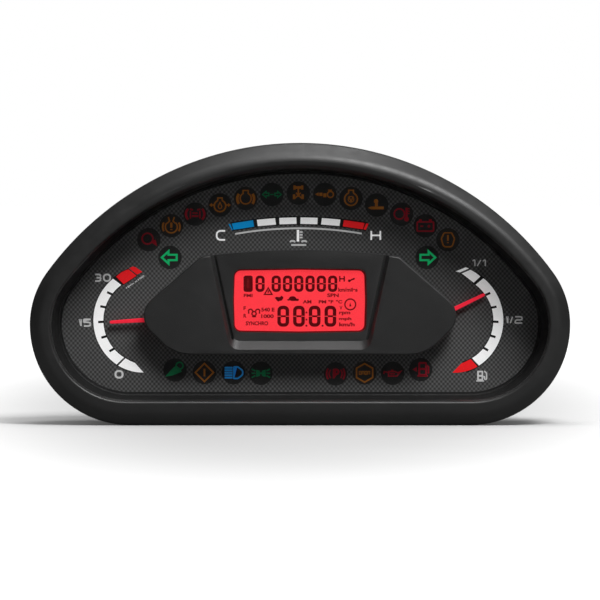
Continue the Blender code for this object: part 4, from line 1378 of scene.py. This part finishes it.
def housing_screws():
    """Pan heads with a cross recess, on the housing's flange."""
    for index in range(1, 7):
        name = f"housing_screw_{index}"
        low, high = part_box(name)
        centre = ((low.x + high.x) / 2, (low.z + high.z) / 2)
        face = high.y - 0.0018
        tip = [(0.0004, low.y), (0.0015, low.y + 0.0014), (0.0015, face)]
        dome = [(0.0032, face), (0.0032, face + 0.0007), (0.0030, face + 0.0012), (0.0024, face + 0.0016)]
        profile = tip + dome + [(0.0012, high.y)]
        build = bmesh.new()
        add_turned(build, profile, centre, 24)
        head = finish_mesh(f"flange_screw_{index}", build, "steel", 35, replaces=[name])
        reach, arm = 0.0017, 0.0004
        cross = []
        for turn in range(4):
            angle = math.radians(90 * turn + 20 * index)
            for x, z in ((reach, -arm), (reach, arm), (arm, arm)):
                spot_x, spot_z = turned(x, z, angle)
                cross.append((centre[0] + spot_x, centre[1] + spot_z))
        recess = new_cutter("cross_recess", [(cross, face + 0.0005), (cross, high.y + 0.001)])
        recess.data.materials.clear()
        cut_by(head, [recess])
        apply_modifiers(head)
        bpy.data.objects.remove(recess)


def housing_ribs():
    """Stiffening ribs and a blank plate on the back of the tub."""
    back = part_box("rear_housing")[1].y - 0.0020
    build = bmesh.new()
    top, width = back + 0.0011, 0.0013

    def rib(points, closed=False):
        feet = stroke(points, width * 1.5, closed)
        crowns = stroke(points, width, closed)
        sections = [(feet[0], back), (crowns[0], top)]
        if closed:
            sections += [(crowns[1], top), (feet[1], back)]
        add_loft(build, sections, ring=closed)

    rib(nested_outline(TUB, 0.0060), closed=True)
    rib(box_outline(-0.0500, 0.0500, 0.0455, 0.0745, 0.0030), closed=True)
    for side in (-1, 1):
        rib([(side * 0.0530, 0.0600), (side * 0.1170, 0.0600)])
        for x, low, high in (
            (0.0300, 0.0770, 0.1180),
            (0.0300, 0.0205, 0.0430),
            (0.0620, 0.0630, 0.0900),
            (0.0620, 0.0205, 0.0570),
            (0.0860, 0.0630, 0.0880),
        ):
            rib([(side * x, low), (side * x, high)])
        for spot in ((side * 0.092, 0.034), (side * 0.072, 0.100)):
            rib(circle(spot, 0.0088, 32), closed=True)
    rib(circle((0.0, 0.106), 0.0082, 32), closed=True)
    finish_mesh("housing_ribs", build, "housing", 30)
    build = bmesh.new()
    plate = box_outline(-0.0240, 0.0240, 0.0225, 0.0395, 0.0015)
    add_loft(build, [(plate, back), (plate, back + 0.0003), (inset_loop(plate, 0.0002), back + 0.0004)])
    finish_mesh("rating_plate_blank", build, "housing", 30)


# Materials of the CAD nodes that stay


def dress_nodes():
    """Gives each CAD node that shows its finished material, chosen by a part of its name."""
    finishes = {
        "lens": ("front_lens",),
        "window": ("display_window",),
        "display": ("display_glass",),
        "weave": ("dial_face",),
        "rubber": ("_gasket", "breather_vent"),
        "guide": ("display_backlight", "_guide"),
        "white": ("display_holder", "light_box"),
        "board": ("main_board",),
        "chip": ("microcontroller", "voltage_regulator", "warning_buzzer"),
        "can": ("smoothing_capacitor",),
        "housing": ("rear_housing",),
        "connector": ("connector_",),
        "motor": ("_motor_",),
        "steel": ("_stator", "_screw_"),
        "copper": ("_coil_",),
        "magnet": ("_rotor",),
        "gear": ("_gear",),
        "bezel": ("_pointer_cap",),
        "brass": ("mounting_insert",),
    }
    for name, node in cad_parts.items():
        for finish, parts in finishes.items():
            if any(part in name for part in parts):
                node.data.materials.clear()
                node.data.materials.append(MATERIALS[finish])


# Stage: floor, light and camera


def floor():
    build = bmesh.new()
    size, height = 8.0, -0.0001
    corners = [(-size, -size), (size, -size), (size, size), (-size, size)]
    build.faces.new([build.verts.new((x, y, height)) for x, y in corners])
    new_mesh("studio_floor", build, studio_white())


def area_light(name, place, target, size, power):
    light = bpy.data.lights.new(name, "AREA")
    light.shape = "RECTANGLE"
    light.size, light.size_y = size
    light.energy = power
    thing = new_object(name, light)
    thing.location = place
    thing.rotation_euler = (Vector(target) - Vector(place)).to_track_quat("-Z", "Y").to_euler()


def lights():
    """Two soft boxes, and a backdrop that is white for the camera but lights the object only faintly."""
    target = (0.0, 0.0, 0.07)
    area_light("top_softbox", (0.01, 0.02, 1.55), target, (0.5, 1.3), 11.5)
    area_light("key_softbox", (0.48, -0.85, 1.32), target, (0.7, 0.6), 35.0)
    world = bpy.data.worlds.new("studio")
    bpy.context.scene.world = world
    world.use_nodes = True
    nodes = world.node_tree.nodes
    links = world.node_tree.links
    backdrop, ambient = nodes["Background"], nodes.new("ShaderNodeBackground")
    for background, strength in ((backdrop, 1.0), (ambient, 0.055)):
        background.inputs["Color"].default_value = rgba(1.0)
        background.inputs["Strength"].default_value = strength
    seen = nodes.new("ShaderNodeLightPath")
    mix = nodes.new("ShaderNodeMixShader")
    links.new(seen.outputs["Is Camera Ray"], mix.inputs["Fac"])
    links.new(ambient.outputs["Background"], mix.inputs[1])
    links.new(backdrop.outputs["Background"], mix.inputs[2])
    links.new(mix.outputs["Shader"], nodes["World Output"].inputs["Surface"])


def camera():
    """A long lens almost level with the cluster, so that its outline shows without perspective."""
    distance = 4.0
    elevation = math.radians(1.5)
    frame_width = 0.3107
    aim = Vector((0.0, FRONT + 0.005, 0.0649))
    data = bpy.data.cameras.new("camera")
    data.sensor_width = 36.0
    data.lens = data.sensor_width * distance / frame_width
    data.clip_end = 50.0
    thing = new_object("camera", data)
    thing.location = aim + Vector((0.0, -distance * math.cos(elevation), distance * math.sin(elevation)))
    thing.rotation_euler = (aim - thing.location).to_track_quat("-Z", "Y").to_euler()
    bpy.context.scene.camera = thing


bpy.context.scene.view_settings.view_transform = "Standard"
bezel()
surround()
pod()
dial_prints()
telltales()
display()
pointer("tach", TACH, (-PIVOT[0], PIVOT[1]), TACH_REST_DEG)
pointer("fuel", FUEL, PIVOT, FUEL_REST_DEG)
connector_pins()
housing_screws()
housing_ribs()
dress_nodes()
floor()
lights()
camera()
